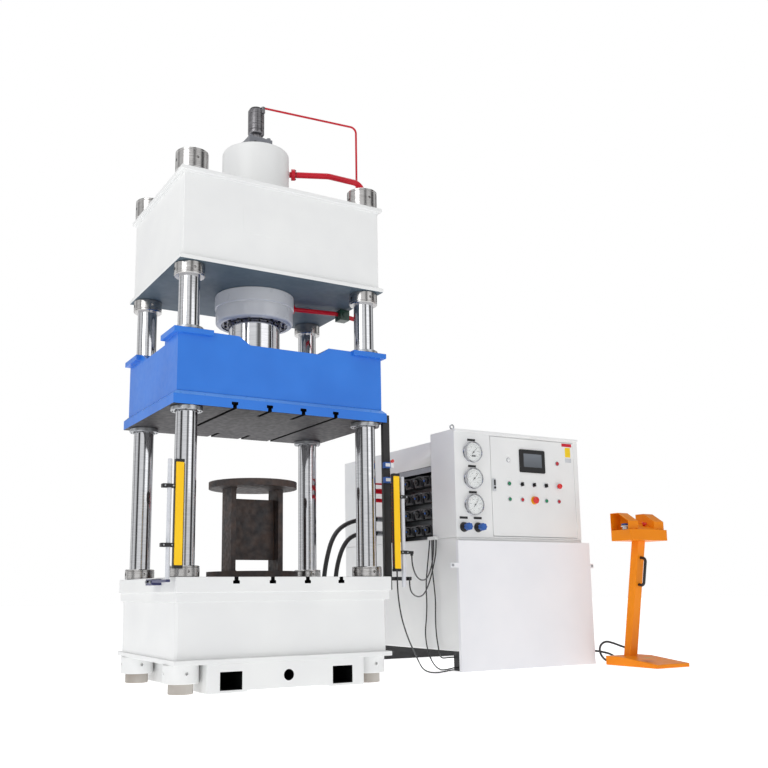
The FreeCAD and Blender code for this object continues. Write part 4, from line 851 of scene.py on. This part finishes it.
CURTAIN_Y, BEAM_PITCH = -531, 20
CURTAINS = (("left", -692, -642, 664, 1255), ("right", 702, 748, 650, 1250))
for side, low_x, high_x, low, high in CURTAINS:
    inner = high_x if side == "left" else low_x
    inward = 1 if side == "left" else -1
    body = Shape().block((low_x + 2, -549, low + 16), (high_x - 2, -513, high - 16), 4)
    body.finish(f"{side}_curtain_profile", "machine", "yellow", slot="yellow_enamel",
                replaces="light_curtains")
    dark = Shape().block((low_x, -549, low), (high_x, -513, low + 17), 3)
    dark.block((low_x, -549, high - 17), (high_x, -513, high), 3)
    dark.block((low_x, -543, low + 17), (low_x + 5, -519, high - 17), 1)
    dark.block((high_x - 5, -543, low + 17), (high_x, -519, high - 17), 1)
    dark.finish(f"{side}_curtain_caps", "machine", "abs_black", slot="yellow_enamel",
                replaces="light_curtains")
    lens = Shape().disc(3.2, 0, 0.8, (inner - 0.8 * (inward < 0), CURTAIN_Y, low + 40),
                        (inward, 0, 0), 0.2, 16)
    repeat(f"{side}_curtain_lenses", lens,
           [(0, 0, rise) for rise in range(0, int(high - low - 80), BEAM_PITCH)],
           "machine", "lens_red", replaces="light_curtains")

posts = Shape().disc(12, 596, 1254, (-720, CURTAIN_Y, 0), edge=2, sides=40)
posts.disc(13, 556, 1232, (775, CURTAIN_Y, 0), edge=2, sides=40)
posts.finish("curtain_post_tubes", "machine", "tube_clear", slot="mill_steel",
             replaces="curtain_posts")
brackets = Shape().block((-732, -545, 592), (-708, -200, 606), 1.5)
brackets.block((-732, -300, 578), (-675, -190, 612), 2)
brackets.finish("left_post_bracket", "machine", "navy", slot="navy_enamel",
                replaces="curtain_posts")
clamps = Shape().block((675, -524, 596), (826, -506, 618), 2)
clamps.block((806, -540, 596), (826, -506, 618), 2).block((806, -538, 757), (846, -522, 775), 2)
clamps.disc(9, 0, 10, (836, -530, 757), (0, 0, -1), 1, 24)
for low in (777, 1095):
    clamps.block((-762, -546, low), (-692, -512, low + 22), 3)
for low in (755, 1095):
    clamps.block((748, -546, low), (806, -512, low + 22), 3)
clamps.finish("curtain_clamps", "machine", "abs_black", slot="black_plastic",
              replaces="curtain_posts")
screws = [(-748, -546, 788), (-703, -546, 788), (-748, -546, 1106), (-703, -546, 1106),
          (760, -546, 766), (796, -546, 766), (760, -546, 1106), (796, -546, 1106)]
repeat("curtain_clamp_screws", socket_screw(4.5, 4, along=FRONT), screws, "machine", "zinc",
       replaces="curtain_posts")
screws = [(-732, -282, 595), (-732, -208, 595)]
repeat("left_bracket_screws", hex_screw(14, 8, along=LEFT), screws, "machine", "zinc",
       replaces="curtain_posts")


# ---------------------------------------------------------------- red pipes and their fittings
PILOT = [(28, -52, 3762), (716, -115, 3762), (716, -115, 2760), (870, 10, 2500), (870, 10, 1350),
         (1235, 720, 1350), (1411, 720, 1350)]
UPPER = [(196, -112, 3291), (440, -212, 3293), (706, -212, 3293), (706, -212, 2740),
         (845, -20, 2480), (845, -20, 1290), (1205, 700, 1290), (1411, 700, 1290)]
LOWER = [(248, 0, 2392), (570, -48, 2392), (740, -50, 2372), (803, 0, 2330), (803, 0, 1220),
         (1172, 705, 1220), (1411, 705, 1220)]
for name, node, route, radius, bend in (("pilot_line", "pilot_tube", PILOT, 7, 42),
                                        ("upper_line", "upper_pipe", UPPER, 20, 70),
                                        ("lower_line", "lower_pipe", LOWER, 15, 55)):
    pipe(name, route, radius, bend, "machine", "red", 32, slot="red_enamel", replaces=node)

outward = Vector((244, -100, 2)).normalized()
UPPER_FLANGE = (220, -121.3, 3291.2)
flanges = Shape().disc(38, -13, 13, UPPER_FLANGE, outward, 2, 48)
flanges.disc(34, 0, 11, (1400, 700, 1290), RIGHT, 2, 48)
flanges.finish("upper_line_flanges", "machine", "red", slot="red_enamel", replaces="upper_pipe")
outlet = Shape().disc(30, -12, 12, (272, -3.4, 2392), Vector((322, -48, 0)), 2, 48)
outlet.disc(26, 0, 11, (1400, 705, 1220), RIGHT, 2, 48)
outlet.finish("lower_line_flanges", "machine", "red", slot="red_enamel", replaces="lower_pipe")
check = Shape().block((590, -92, 2344), (662, -16, 2416), 3)
check.disc(20, 0, 6, (626, -92, 2380), FRONT, 1.5, 6)
check.finish("check_valve_block", "machine", "green", slot="red_enamel", replaces="lower_pipe")
turn = UP.rotation_difference(outward).to_matrix().to_4x4()
bolts = Shape()
for step in range(6):
    spin = Matrix.Rotation(math.radians(60 * step), 4, "Z")
    bolts.turned([(0, 0), (5.5, 0), (5.5, 6), (3, 6), (3, 3), (0, 3)], (28, 0, 13), UP, 16,
                 matrix=Matrix.Translation(UPPER_FLANGE) @ turn @ spin)
bolts.finish("upper_flange_screws", "machine", "black", replaces="upper_pipe")


# ---------------------------------------------------------------- hoses and cables
def cord(name, node, route, diameter, length, paint, lay, stiffness, far_end, pieces=()):
    """A hose or a cable along the CAD model's own line."""
    curve = bpy.data.curves.new(name, "CURVE")
    curve.dimensions = "3D"
    line = curve.splines.new("NURBS")
    line.points.add(len(route) - 1)
    for point, place in zip(line.points, route):
        point.co = (*(value * MM for value in place), 1)
    line.order_u = 3
    line.use_endpoint_u = True
    curve.resolution_u = 12
    curve.bevel_depth = diameter / 2 * MM
    curve.bevel_resolution = 5
    curve.use_fill_caps = True
    curve.materials.append(FINISH[paint])
    piece = new_object(name, curve)
    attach(piece, "machine")
    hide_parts(node)
    [value * MM for value in route[0]]
    return piece


def crimp(name, place, along, radius=21, length=44):
    """The pressed ferrule and the hexagon at a hose's end."""
    grip = [(0, 0), (radius - 1, 0)]
    for rib in range(4):
        low = length * (0.12 + 0.2 * rib)
        grip += [(radius, low), (radius, low + length * 0.12), (radius - 1.2, low + length * 0.15)]
    grip += [(radius - 1.2, length), (0, length)]
    shape = Shape().turned(grip, place, along, 40)
    shape.disc(radius * 0.98, -12, 0, place, Vector(along).normalized(), 1, 6)
    return shape.finish(name, "machine", "zinc")


HOSE_LEFT = [(1411, 700, 1076), (1290, 700, 1076), (1160, 690, 1064), (1040, 655, 1030),
             (932, 600, 972), (858, 555, 890), (806, 515, 790), (768, 485, 690), (746, 465, 580),
             (738, 455, 460), (738, 455, 345)]
HOSE_RIGHT = [(1411, 700, 968), (1290, 700, 968), (1164, 692, 960), (1066, 655, 926),
              (985, 605, 860), (925, 560, 775), (882, 525, 680), (850, 486, 575), (836, 455, 460),
              (836, 455, 345)]
CURTAIN_UPPER = [(836, -530, 757), (836, -530, 705), (866, -505, 655), (920, -450, 622),
                 (988, -380, 605), (1062, -302, 600), (1140, -222, 604), (1212, -148, 624),
                 (1278, -84, 666), (1334, -30, 730), (1376, 12, 806), (1398, 44, 884)]
CURTAIN_LOWER = [(816, -530, 596), (816, -530, 552), (842, -512, 520), (896, -466, 503),
                 (964, -400, 496), (1036, -328, 499), (1108, -256, 515), (1180, -184, 548),
                 (1246, -122, 600), (1304, -72, 668), (1352, -34, 744), (1384, -8, 814),
                 (1399, 12, 884)]
SENSOR = [(726, -531, 650), (726, -531, 560), (736, -528, 470), (765, -508, 378), (812, -476, 296),
          (868, -436, 222), (930, -392, 158), (990, -346, 98), (1048, -300, 48), (1120, -258, 18),
          (1212, -218, 6), (1300, -184, 7), (1376, -170, 14), (1440, -170, 14)]
VALVE_REAR = [(1395, 84, 884), (1391, 98, 780), (1389, 120, 670), (1388, 136, 560),
              (1388, 128, 450), (1389, 140, 345), (1388, 160, 240), (1389, 142, 140),
              (1388, 96, 64), (1386, 40, 22), (1376, -24, 7), (1360, -84, 8), (1372, -134, 16),
              (1402, -144, 24), (1440, -144, 24)]
VALVE_FRONT = [(1398, 62, 884), (1396, 62, 775), (1393, 58, 670), (1390, 36, 560), (1389, 22, 450),
               (1391, 34, 340), (1390, 26, 230), (1386, 0, 150), (1366, -42, 100), (1356, -86, 84),
               (1386, -112, 90), (1440, -112, 90)]
CONSOLE = [(2500, -150, 92), (2570, -150, 92), (2644, -168, 88), (2704, -196, 80), (2750, -240, 64),
           (2748, -292, 40), (2710, -318, 20), (2662, -310, 14), (2624, -288, 40), (2614, -266, 88),
           (2638, -256, 136), (2688, -262, 158), (2733, -290, 144), (2755, -346, 123),
           (2755, -405.8, 112)]
HOSE = ("hose", "hanging", "stiff", "fitting")       # paint, lay, stiffness and far end
LEAD = ("jacket", "hanging", "medium", "object")
CORDS = (("left_return_hose", "hose_left", HOSE_LEFT, 33, 1212, *HOSE),
         ("right_return_hose", "hose_right", HOSE_RIGHT, 33, 1044, *HOSE),
         ("upper_curtain_lead", "curtain_cable_upper", CURTAIN_UPPER, 9, 1003, *LEAD),
         ("lower_curtain_lead", "curtain_cable_lower", CURTAIN_LOWER, 9, 1024, *LEAD),
         ("sensor_lead", "sensor_cable", SENSOR, 9, 1188, *LEAD),
         ("rear_valve_lead", "valve_cable_rear", VALVE_REAR, 9, 1154, *LEAD),
         ("front_valve_lead", "valve_cable_front", VALVE_FRONT, 9, 944, *LEAD),
         ("console_lead", "console_cable", CONSOLE, 15, 807, "jacket", "loose", "medium",
          "connector"))
ENDS = {
    "left_return_hose": crimp("left_hose_foot", (738, 455, 388), UP),
    "right_return_hose": crimp("right_hose_foot", (836, 455, 388), UP),
    "console_lead": Shape().block((2727, -416, 88), (2783, -404, 136), 3).disc(
        12, 0, 14, (2755, -404, 112), (0, 1, 0), 1.5, 32).finish("console_plug", "machine", "navy"),
}
for details in CORDS:
    cord(*details, pieces=[ENDS[details[0]]] if details[0] in ENDS else [])
for side, high in (("left", 1076), ("right", 968)):
    crimp(f"{side}_hose_head", (1374, 700, high), LEFT)
    port = Shape().disc(24, 0, 26, (1411, 700, high), LEFT, 2, 6)
    port.finish(f"{side}_hose_port", "machine", "zinc")


# ---------------------------------------------------------------- power unit housing
def hood_paint(middle, normal):
    """The open bay's inside is painted black as the shade in it."""
    return 1 if 1413 < middle.x < 1761 and 67 < middle.y < 656 and 891 < middle.z < 1413 else 0


softened("tank", "oil_tank", 8, "white", shortest=100)
# painted black both as the channel base and as the shade under the tank
softened("tank_base", "tank_channel_base", 2, "black")
softened("cabinet", "control_cabinet", 4, "white", shortest=100)
softened("cabinet_door", "control_cabinet_door", 2.5, "white", shortest=200)
# painted shade: the bay's inside takes the black print finish
softened("valve_hood", "valve_hood_shell", 0, "white", "print_black", choose=hood_paint,
         shortest=100)
softened("front_cover", "front_cover_sheet", 1, "cover_white", shortest=300)
ears = Shape()
for x in (1352, 2610):
    ears.disc(9, 0, 5, (x, -243, 700), FRONT, 1, 24).disc(5, 5, 12, (x, -243, 700), FRONT, 1, 20)
ears.finish("cover_thumb_screws", "machine", "zinc")

eye = Shape().disc(14, 1640, 1646, (1447, -150, 0), edge=1.5, sides=32)
tube, bend = 5, 15
section = [math.radians(30 * step) for step in range(12)]
eye.turned([(bend + tube * math.cos(angle), tube * math.sin(angle)) for angle in section],
           (1447, -150, 1664), (0, 1, 0), 48)
eye.finish("lifting_eye", "machine", "zinc")


# ---------------------------------------------------------------- valves in the open bay
softened("valve_manifold", "drilled_manifold", 1.5, "block", shortest=30)
COLUMN_PITCH, ROW_PITCH = 124, 118
VALVES = [(1440, 116 + COLUMN_PITCH * column, 926 + ROW_PITCH * row)
          for row in range(4) for column in range(4)]
FITTED_COILS = (0, 1, 2, 4, 6, 8, 9, 11, 12, 14)
case = Shape().block((8, 0, 0), (60, 96, 74), 3).block((0, 8, 6), (9, 88, 68), 3)
repeat("valve_cases", case, VALVES, "machine", "bay_grey", slot="black_paint",
       replaces="solenoid_valves")
coil = Shape().turned([(0, 0), (24, 0), (24, 16), (22, 19), (10, 19), (9, 24), (0, 24)],
                      (0, 48, 36), LEFT, 40)
repeat("valve_coils", coil, VALVES, "machine", "abs_black", slot="black_plastic",
       replaces="solenoid_valves")
plug = Shape().block((-16, 62, 44), (8, 90, 72), 2.5)
repeat("valve_plugs", plug, VALVES, "machine", "abs_grey", slot="black_plastic",
       replaces="solenoid_valves")
label = Shape().block((7.4, 8, 50), (8.4, 56, 70), 0.2)
repeat("valve_labels", label, VALVES, "machine", "print_white", replaces="solenoid_valves")
nuts = Shape().disc(8, 24, 29, (0, 48, 36), LEFT, 1, 6)
repeat("valve_coil_nuts", nuts, [VALVES[index] for index in FITTED_COILS], "machine", "abs_blue",
       replaces="solenoid_valves")
duct = Shape().block((1412, 72, 1372), (1424, 650, 1410), 1.5)
duct.finish("bay_wiring_duct", "machine", "abs_duct")
for row in range(4):
    low = ROW_PITCH * row
    wires = [(1430, 118, 990 + low), (1424, 240, 1000 + low), (1428, 364, 992 + low),
             (1424, 488, 1004 + low), (1430, 640, 1060 + 100 * row)]
    pipe(f"valve_wiring_{row}", wires, 5, 30, "machine", "jacket", 12)


# ---------------------------------------------------------------- gauges and knobs
PANEL_Y = -217           # the face of the cabinet and its door


def facing(x, z):
    """Turns a shape drawn flat, X to the right and Y up, to face the operator on the cabinet."""
    return Matrix(((1, 0, 0, x), (0, 0, -1, PANEL_Y), (0, 1, 0, z), (0, 0, 0, 1)))


def on_panel(node):
    """The middle of a CAD node, moved to the face of the cabinet."""
    return (centre(node).x, PANEL_Y, centre(node).z)


FIRST_MARK, SWEEP = 225, 270              # where a dial's scale starts, and how far it runs
for place, high, needle, box in (("lower", 1114, 52, 0), ("middle", 1296, 48, 0),
                                 ("upper", 1481, 45, 1)):
    view = facing(1560, high)
    name = f"{place}_gauge"
    rim = Shape().turned([(64, 4), (64, 26), (66, 31), (68, 34), (71, 33), (73, 29), (73, 14),
                          (69, 10), (69, 2), (75, 0), (64, 0)], matrix=view, sides=96)
    rim.finish(name + "_rim", "machine", "rim", slot="hard_chrome", replaces="gauges")
    Shape().turned([(0, 0), (64, 0), (64, 24), (0, 24)], matrix=view, sides=64).finish(
        name + "_dial", "machine", "print_white", slot="white_enamel", replaces="gauges")
    marks = Shape()
    for step in range(51):
        start, half = (48, 0.7) if step % 5 == 0 else (52, 0.4)
        angle = math.radians(FIRST_MARK - SWEEP * step / 50)
        spin = view @ Matrix.Rotation(angle, 4, "Z")
        marks.block((start, -half, 24), (58, half, 24.3), 0, matrix=spin)
    for step in range(6):
        angle = math.radians(FIRST_MARK - SWEEP * step / 5)
        spot = Matrix.Translation((39 * math.cos(angle), 39 * math.sin(angle), 24.2))
        marks.numeral(str(step * 50), 9, view @ spot)
    spin = view @ Matrix.Rotation(math.radians(needle), 4, "Z")
    marks.prism([(-18, -2.2), (50, -0.6), (50, 0.6), (-18, 2.2)], 25.5, 26.3, matrix=spin)
    marks.turned([(0, 24), (6, 24), (6, 27.5), (0, 28.5)], matrix=view, sides=32)
    if box:
        marks.block((-17, -34, 24), (17, -20, 24.6), 0.3, matrix=view)
    marks.finish(name + "_marks", "machine", "print_black", replaces="gauges")
    Shape().turned([(0, 30), (65.5, 30), (65.5, 32), (0, 32)], matrix=view, sides=64).finish(
        name + "_glass", "machine", "glass", replaces="gauges")
    strip = Shape().block((-34, 80, 0), (34, 96, 1.2), 0.3, matrix=view)
    strip.finish(name + "_strip", "machine", "print_black")

for node, x in (("pressure_knob_left", 1474), ("pressure_knob_right", 1594)):
    view = facing(x, 960)
    skirt = Shape().turned([(0, 0.5), (34, 0.5), (34, 5), (27, 30), (20, 34), (0, 34)], matrix=view,
                           sides=64)
    skirt.finish(node + "_skirt", node, "abs_black", slot="black_plastic", replaces=node)
    lobes = []
    for step in range(96):
        angle = 2 * math.pi * step / 96
        reach = 24 + 2 * math.cos(7 * angle)
        lobes.append((reach * math.cos(angle), reach * math.sin(angle)))
    grip = Shape().prism(lobes, 34, 72, edge=2.5, matrix=view)
    grip.disc(14, 0, 2, (x, -289, 960), FRONT, 0.8, 40)
    grip.finish(node + "_grip", node, "abs_blue", slot="blue_plastic", replaces=node)
    strip = Shape().block((-34, 56, 0), (34, 72, 1.2), 0.3, matrix=view)
    strip.finish(node + "_strip", "machine", "print_black")


# ---------------------------------------------------------------- panel on the door
SELECTORS = ("selector_left", "selector_middle", "selector_right")
rings = Shape()
for node in ("button_green_left", "button_green_right", "button_red_left", "button_red_right",
             "button_mushroom", *SELECTORS):
    rings.turned([(11.8, 0), (17, 0), (17, 3), (15, 6), (11.8, 6)], on_panel(node), FRONT, 48)
LAMPS = (("white_lamp", (1884, PANEL_Y, 1447), "lens_white"),
         ("red_lamp", (2343, PANEL_Y, 1447), "lens_red"),
         ("green_lamp", (1884, PANEL_Y, 1278), "lens_green"))
for _, place, _ in LAMPS:
    rings.turned([(14.1, 0), (17, 0), (17, 3), (16, 6), (14.1, 6)], place, FRONT, 48)
rings.finish("panel_rings", "door", "rim", slot="hard_chrome", replaces="panel_bezels")
for name, place, paint in LAMPS:
    dome = [(0, 0), (14, 0), (14, 7), (12, 11), (6, 13.5), (0, 14)]
    lamp = Shape().turned(dome, place, FRONT, 40)
    lamp.finish(name, "door", paint, slot="hard_chrome", replaces="panel_bezels")
collar = Shape().turned([(14, 0), (30, 0), (30, 2), (29, 4), (22, 6), (14, 6)],
                        on_panel("emergency_stop"), FRONT, 64)
collar.finish("emergency_stop_collar", "door", "cap_yellow", slot="hard_chrome",
              replaces="panel_bezels")


SHANK, SUNK = 11.3, -14  # the radius of a button's shank, and its inner end behind the panel


def push_button(node, paint, mushroom=0):
    """A button in its ring: a flush cap, or a mushroom of that radius."""
    out = PANEL_Y - span(node)[0].y
    if mushroom:
        cap = [(SHANK, out - 15), (mushroom - 2, out - 15), (mushroom, out - 12),
               (mushroom * 0.97, out - 7), (mushroom * 0.8, out - 2), (mushroom * 0.5, out),
               (0, out)]
    else:
        cap = [(SHANK, out - 2), (9.5, out), (7, out - 0.5), (0, out - 1)]
    shape = Shape().turned([(0, SUNK), (SHANK, SUNK)] + cap, on_panel(node), FRONT, 56)
    shape.finish(node + "_cap", node, paint, slot=slot_of(node), replaces=node)


for side in ("left", "right"):
    push_button(f"button_green_{side}", "lens_green")
for side in ("left", "right"):
    push_button(f"button_red_{side}", "lens_red")
push_button("button_mushroom", "cap_red", 20)
push_button("emergency_stop", "cap_red", 26)
for node in SELECTORS:
    view = facing(centre(node).x, centre(node).z)
    knob = Shape().turned([(0, SUNK), (SHANK, SUNK), (SHANK, 7), (13.5, 8), (13.5, 12), (12, 13),
                           (0, 13)],
                          matrix=view, sides=48)
    knob.prism([(-4, -13), (4, -13), (4, 13), (2.5, 14), (-2.5, 14), (-4, 13)], 12, 26, edge=0.8,
               matrix=view)
    knob.finish(node + "_handle", node, "abs_black", slot="black_plastic", replaces=node)
    mark = Shape().block((-0.7, 4, 26), (0.7, 13, 26.3), 0, matrix=view)
    mark.finish(node + "_mark", node, "print_white", replaces=node)

legends = Shape()
for x, z in [(x, z + 33) for x in (1884, 1998, 2110, 2223, 2343) for z in (1278, 1167)
             if (x, z) != (2110, 1167)] + [(1884, 1482), (2343, 1482), (2110, 1209)]:
    legends.block((-17, -5.5, 0), (17, 5.5, 0.8), 0.2, matrix=facing(x, z))
legends.finish("panel_legends", "door", "print_white")

bezel = Shape()
bezel.prism([(1986, 1372), (1992, 1366), (2215, 1366), (2221, 1372), (2221, 1527), (2215, 1533),
             (1992, 1533), (1986, 1527)], -227, -212, axis="y", edge=1.5)
bezel.finish("display_bezel", "door", "abs_black", slot=slot_of("screen"), replaces="screen",
                   carve=Shape().block((2020, -232, 1404), (2194, -224, 1505), 2))
Shape().block((2020, -224.2, 1404), (2194, -223, 1505), 0.2).finish(
    "display_pane", "door", "display", slot=slot_of("screen"), replaces="screen")

low, _ = span("door_lock")
lock = Shape().block((1733, low.y + 4, 1218), (1757, PANEL_Y - 1.5, 1306), 2.5)
lock.finish("lock_plate", "lock", "print_grey", slot=slot_of("door_lock"), replaces="door_lock")
barrel = Shape().disc(9, 2, PANEL_Y - low.y, (1745, PANEL_Y, 1242), FRONT, 1.2, 32)
barrel.block((1738, low.y + 1, 1258), (1752, low.y + 6, 1298), 1.5)
barrel.finish("lock_barrel", "lock", "abs_black", slot=slot_of("door_lock"), replaces="door_lock")

for name, wide, high, x, z, paint in (("red_strip", 48, 12, 2446, 1592, "print_red"),
                                      ("yellow_plate", 26, 36, 2454, 1538, "print_yellow"),
                                      ("pale_plate", 30, 16, 2456, 1478, "print_grey")):
    plate = Shape().block((-wide, -high, 0), (wide, high, 0.8), 0.2, matrix=facing(x, z))
    plate.finish("cabinet_" + name, "door", paint)


# ---------------------------------------------------------------- inside the cabinet
Shape().block((1752, 14, 930), (2486, 17, 1588), 0.5).finish("mounting_plate", "machine", "zinc")
ducts, rails, gear, terminals = Shape(), Shape(), Shape(), Shape()
for level, (high, wide) in enumerate(((1040, 26), (1190, 45), (1340, 36), (1490, 54))):
    ducts.block((1760, -40, high + 62), (2478, 14, high + 90), 1.5)
    rails.block((1775, 6, high - 17), (2465, 14, high + 18), 1)
    target = terminals if level == 0 else gear
    front = -74 + 10 * (level % 2)
    for step in range(int(640 / (wide + 3))):
        left = 1790 + step * (wide + 3)
        target.block((left, front, high - 38), (left + wide, 6, high + 42), 2)
        target.block((left + wide * 0.2, front - 8, high - 16),
                     (left + wide * 0.8, front + 4, high + 20), 1.5)
for x in (1758, 2452):
    ducts.block((x, -40, 935), (x + 28, 14, 1580), 1.5)
ducts.finish("wiring_ducts", "machine", "print_grey")
rails.finish("mounting_rails", "machine", "zinc")
gear.finish("contactors_and_breakers", "machine", "abs_grey")
terminals.finish("terminal_blocks", "machine", "sticker")


# ---------------------------------------------------------------- two-hand console
softened("console_stand", "console_pedestal", 3, "orange", shortest=30)
softened("console_head", "console_housing", 1.2, "orange", shortest=60)
softened("console_handle", "console_pull_handle", 0, "abs_black")

PALM_BUTTONS = ("palm_button_left", "palm_button_right")
for node in PALM_BUTTONS:
    x, y = centre(node).xy
    stem = Shape().turned([(0, 932), (20, 932), (20, 964), (0, 964)], (x, y, 0), sides=48)
    stem.turned([(0, 966), (29, 966), (31, 968), (31, 971), (26, 975), (0, 975)], (x, y, 0),
                sides=64)
    stem.finish(node + "_base", node, "lens_white", slot=slot_of(node), replaces=node)
    band = Shape().turned([(0, 974), (28, 974), (28, 979), (0, 979)], (x, y, 0), sides=64)
    band.finish(node + "_band", node, "abs_black", replaces=node)
    cap = Shape().turned([(0, 979), (27.5, 979), (26.5, 984), (22, 988.5), (12, 990), (0, 990)],
                         (x, y, 0), sides=64)
    cap.finish(node + "_cap", node, "abs_blue", replaces=node)

for node, paint in (("console_selector", "abs_black"), ("console_stop", "cap_red")):
    softened(node, node + "_knob", 0, paint)

for node in PALM_BUTTONS:
    Shape().ring(22, 34, 944, 947, (centre(node).x, centre(node).y, 0), edge=1, sides=48).finish(
        node + "_collar", "machine", "abs_black")

Shape().block((2632, -700, 62.2), (2700, -640, 62.8), 0).finish("step_label", "machine", "sticker")


# ---------------------------------------------------------------- studio, light and camera
floor_mesh = bpy.data.meshes.new("floor")
floor_mesh.from_pydata([(-40, -40, 0), (40, -40, 0), (40, 40, 0), (-40, 40, 0)], [], [(0, 1, 2, 3)])
floor = new_object("floor", floor_mesh)
paper, tree, shader, place = new_finish("white_studio_floor", **{
    "IOR": 1.3, "Roughness": 0.6, "Emission Color": (1, 1, 1, 1), "Emission Strength": 0.66})
two_tone(tree, shader, clouds(tree, place, 2000, 0, 1), "#f6f6f6", "#f2f2f3")
floor_mesh.materials.append(paper)

world = bpy.data.worlds.new("studio")
bpy.context.scene.world = world
world.use_nodes = True
tree = world.node_tree
tree.nodes.clear()
heading = add(tree, "ShaderNodeTexCoord").outputs["Object"]
parts = add(tree, "ShaderNodeSeparateXYZ", {"Vector": heading})
turn = add(tree, "ShaderNodeMath", {0: parts.outputs["Y"], 1: parts.outputs["X"]},
           operation="ARCTAN2")
bands = add(tree, "ShaderNodeValToRGB", {"Fac": add(tree, "ShaderNodeMapRange", {
    "Value": turn.outputs[0], "From Min": -math.pi, "From Max": math.pi}).outputs[0]})
STOPS = ((0.0, 0.8), (0.04, 0.06), (0.07, 0.05), (0.1, 0.95), (0.2, 1.0), (0.23, 0.2),
         (0.25, 0.15), (0.28, 0.9), (0.36, 0.85), (0.39, 0.05), (0.43, 0.04), (0.46, 0.75),
         (0.52, 0.8), (0.55, 0.1), (0.58, 0.08), (0.62, 0.85), (0.7, 0.95), (0.73, 0.12),
         (0.76, 0.1), (0.79, 0.8), (0.86, 0.9), (0.9, 0.25), (0.94, 0.85), (1.0, 0.8))
ramp = bands.color_ramp
while len(ramp.elements) < len(STOPS):
    ramp.elements.new(0.5)
for stop, (position, level) in zip(ramp.elements, STOPS):
    stop.position = position
    stop.color = (level, level, level, 1)
rise = add(tree, "ShaderNodeMapRange",
           {"Value": parts.outputs["Z"], "From Min": 0.5, "From Max": 1.0})
sky = add(tree, "ShaderNodeMix", {"Factor": rise.outputs[0], COLOUR_A: bands.outputs[0],
                                  COLOUR_B: (1.25, 1.27, 1.3, 1)}, data_type="RGBA")
rays = add(tree, "ShaderNodeLightPath")
mixed = add(tree, "ShaderNodeMix", {
    "Factor": rays.outputs["Is Glossy Ray"], COLOUR_A: (0.47, 0.47, 0.475, 1),
    COLOUR_B: sky.outputs[COLOUR_OUT]}, data_type="RGBA")
shown = add(tree, "ShaderNodeMix", {
    "Factor": rays.outputs["Is Camera Ray"], COLOUR_A: mixed.outputs[COLOUR_OUT],
    COLOUR_B: (1, 1, 1, 1)}, data_type="RGBA")
glow = add(tree, "ShaderNodeBackground", {"Color": shown.outputs[COLOUR_OUT], "Strength": 1.0})
add(tree, "ShaderNodeOutputWorld", {"Surface": glow.outputs[0]})


def soft_light(name, place, target, size, power):
    lamp = bpy.data.lights.new(name, "AREA")
    lamp.shape = "RECTANGLE"
    lamp.size, lamp.size_y = size
    lamp.energy = power
    holder = new_object(name, lamp)
    holder.location = place
    holder.rotation_euler = (Vector(target) - Vector(place)).to_track_quat("-Z", "Y").to_euler()


soft_light("key_light", (-6.5, -3.5, 5.5), (0.6, 0, 1.6), (4, 4), 150)
soft_light("front_fill", (3.5, -8.0, 3.5), (1.2, 0, 1.2), (5, 3), 30)
soft_light("top_light", (1.0, 0.5, 8.0), (1.0, 0, 0), (6, 5), 70)

lens = bpy.data.cameras.new("catalogue_camera")
lens.lens = 42.87
lens.sensor_width = 36
lens.shift_x = 0.0410
lens.shift_y = 0.0531
camera = new_object("catalogue_camera", lens)
ahead = Vector((0.4887, 0.8537, 0.1799)).normalized()
side = Vector((0.8679, -0.4968, 0)).normalized()
rise_axis = side.cross(ahead)
roll = -0.0109
across = side * math.cos(roll) + rise_axis * math.sin(roll)
upward = rise_axis * math.cos(roll) - side * math.sin(roll)
turned_to = Matrix((across, upward, -ahead)).transposed().to_4x4()
camera.matrix_world = Matrix.Translation((-2.30346, -5.29629, 0.52973)) @ turned_to
bpy.context.scene.camera = camera
bpy.context.scene.view_settings.view_transform = "Standard"
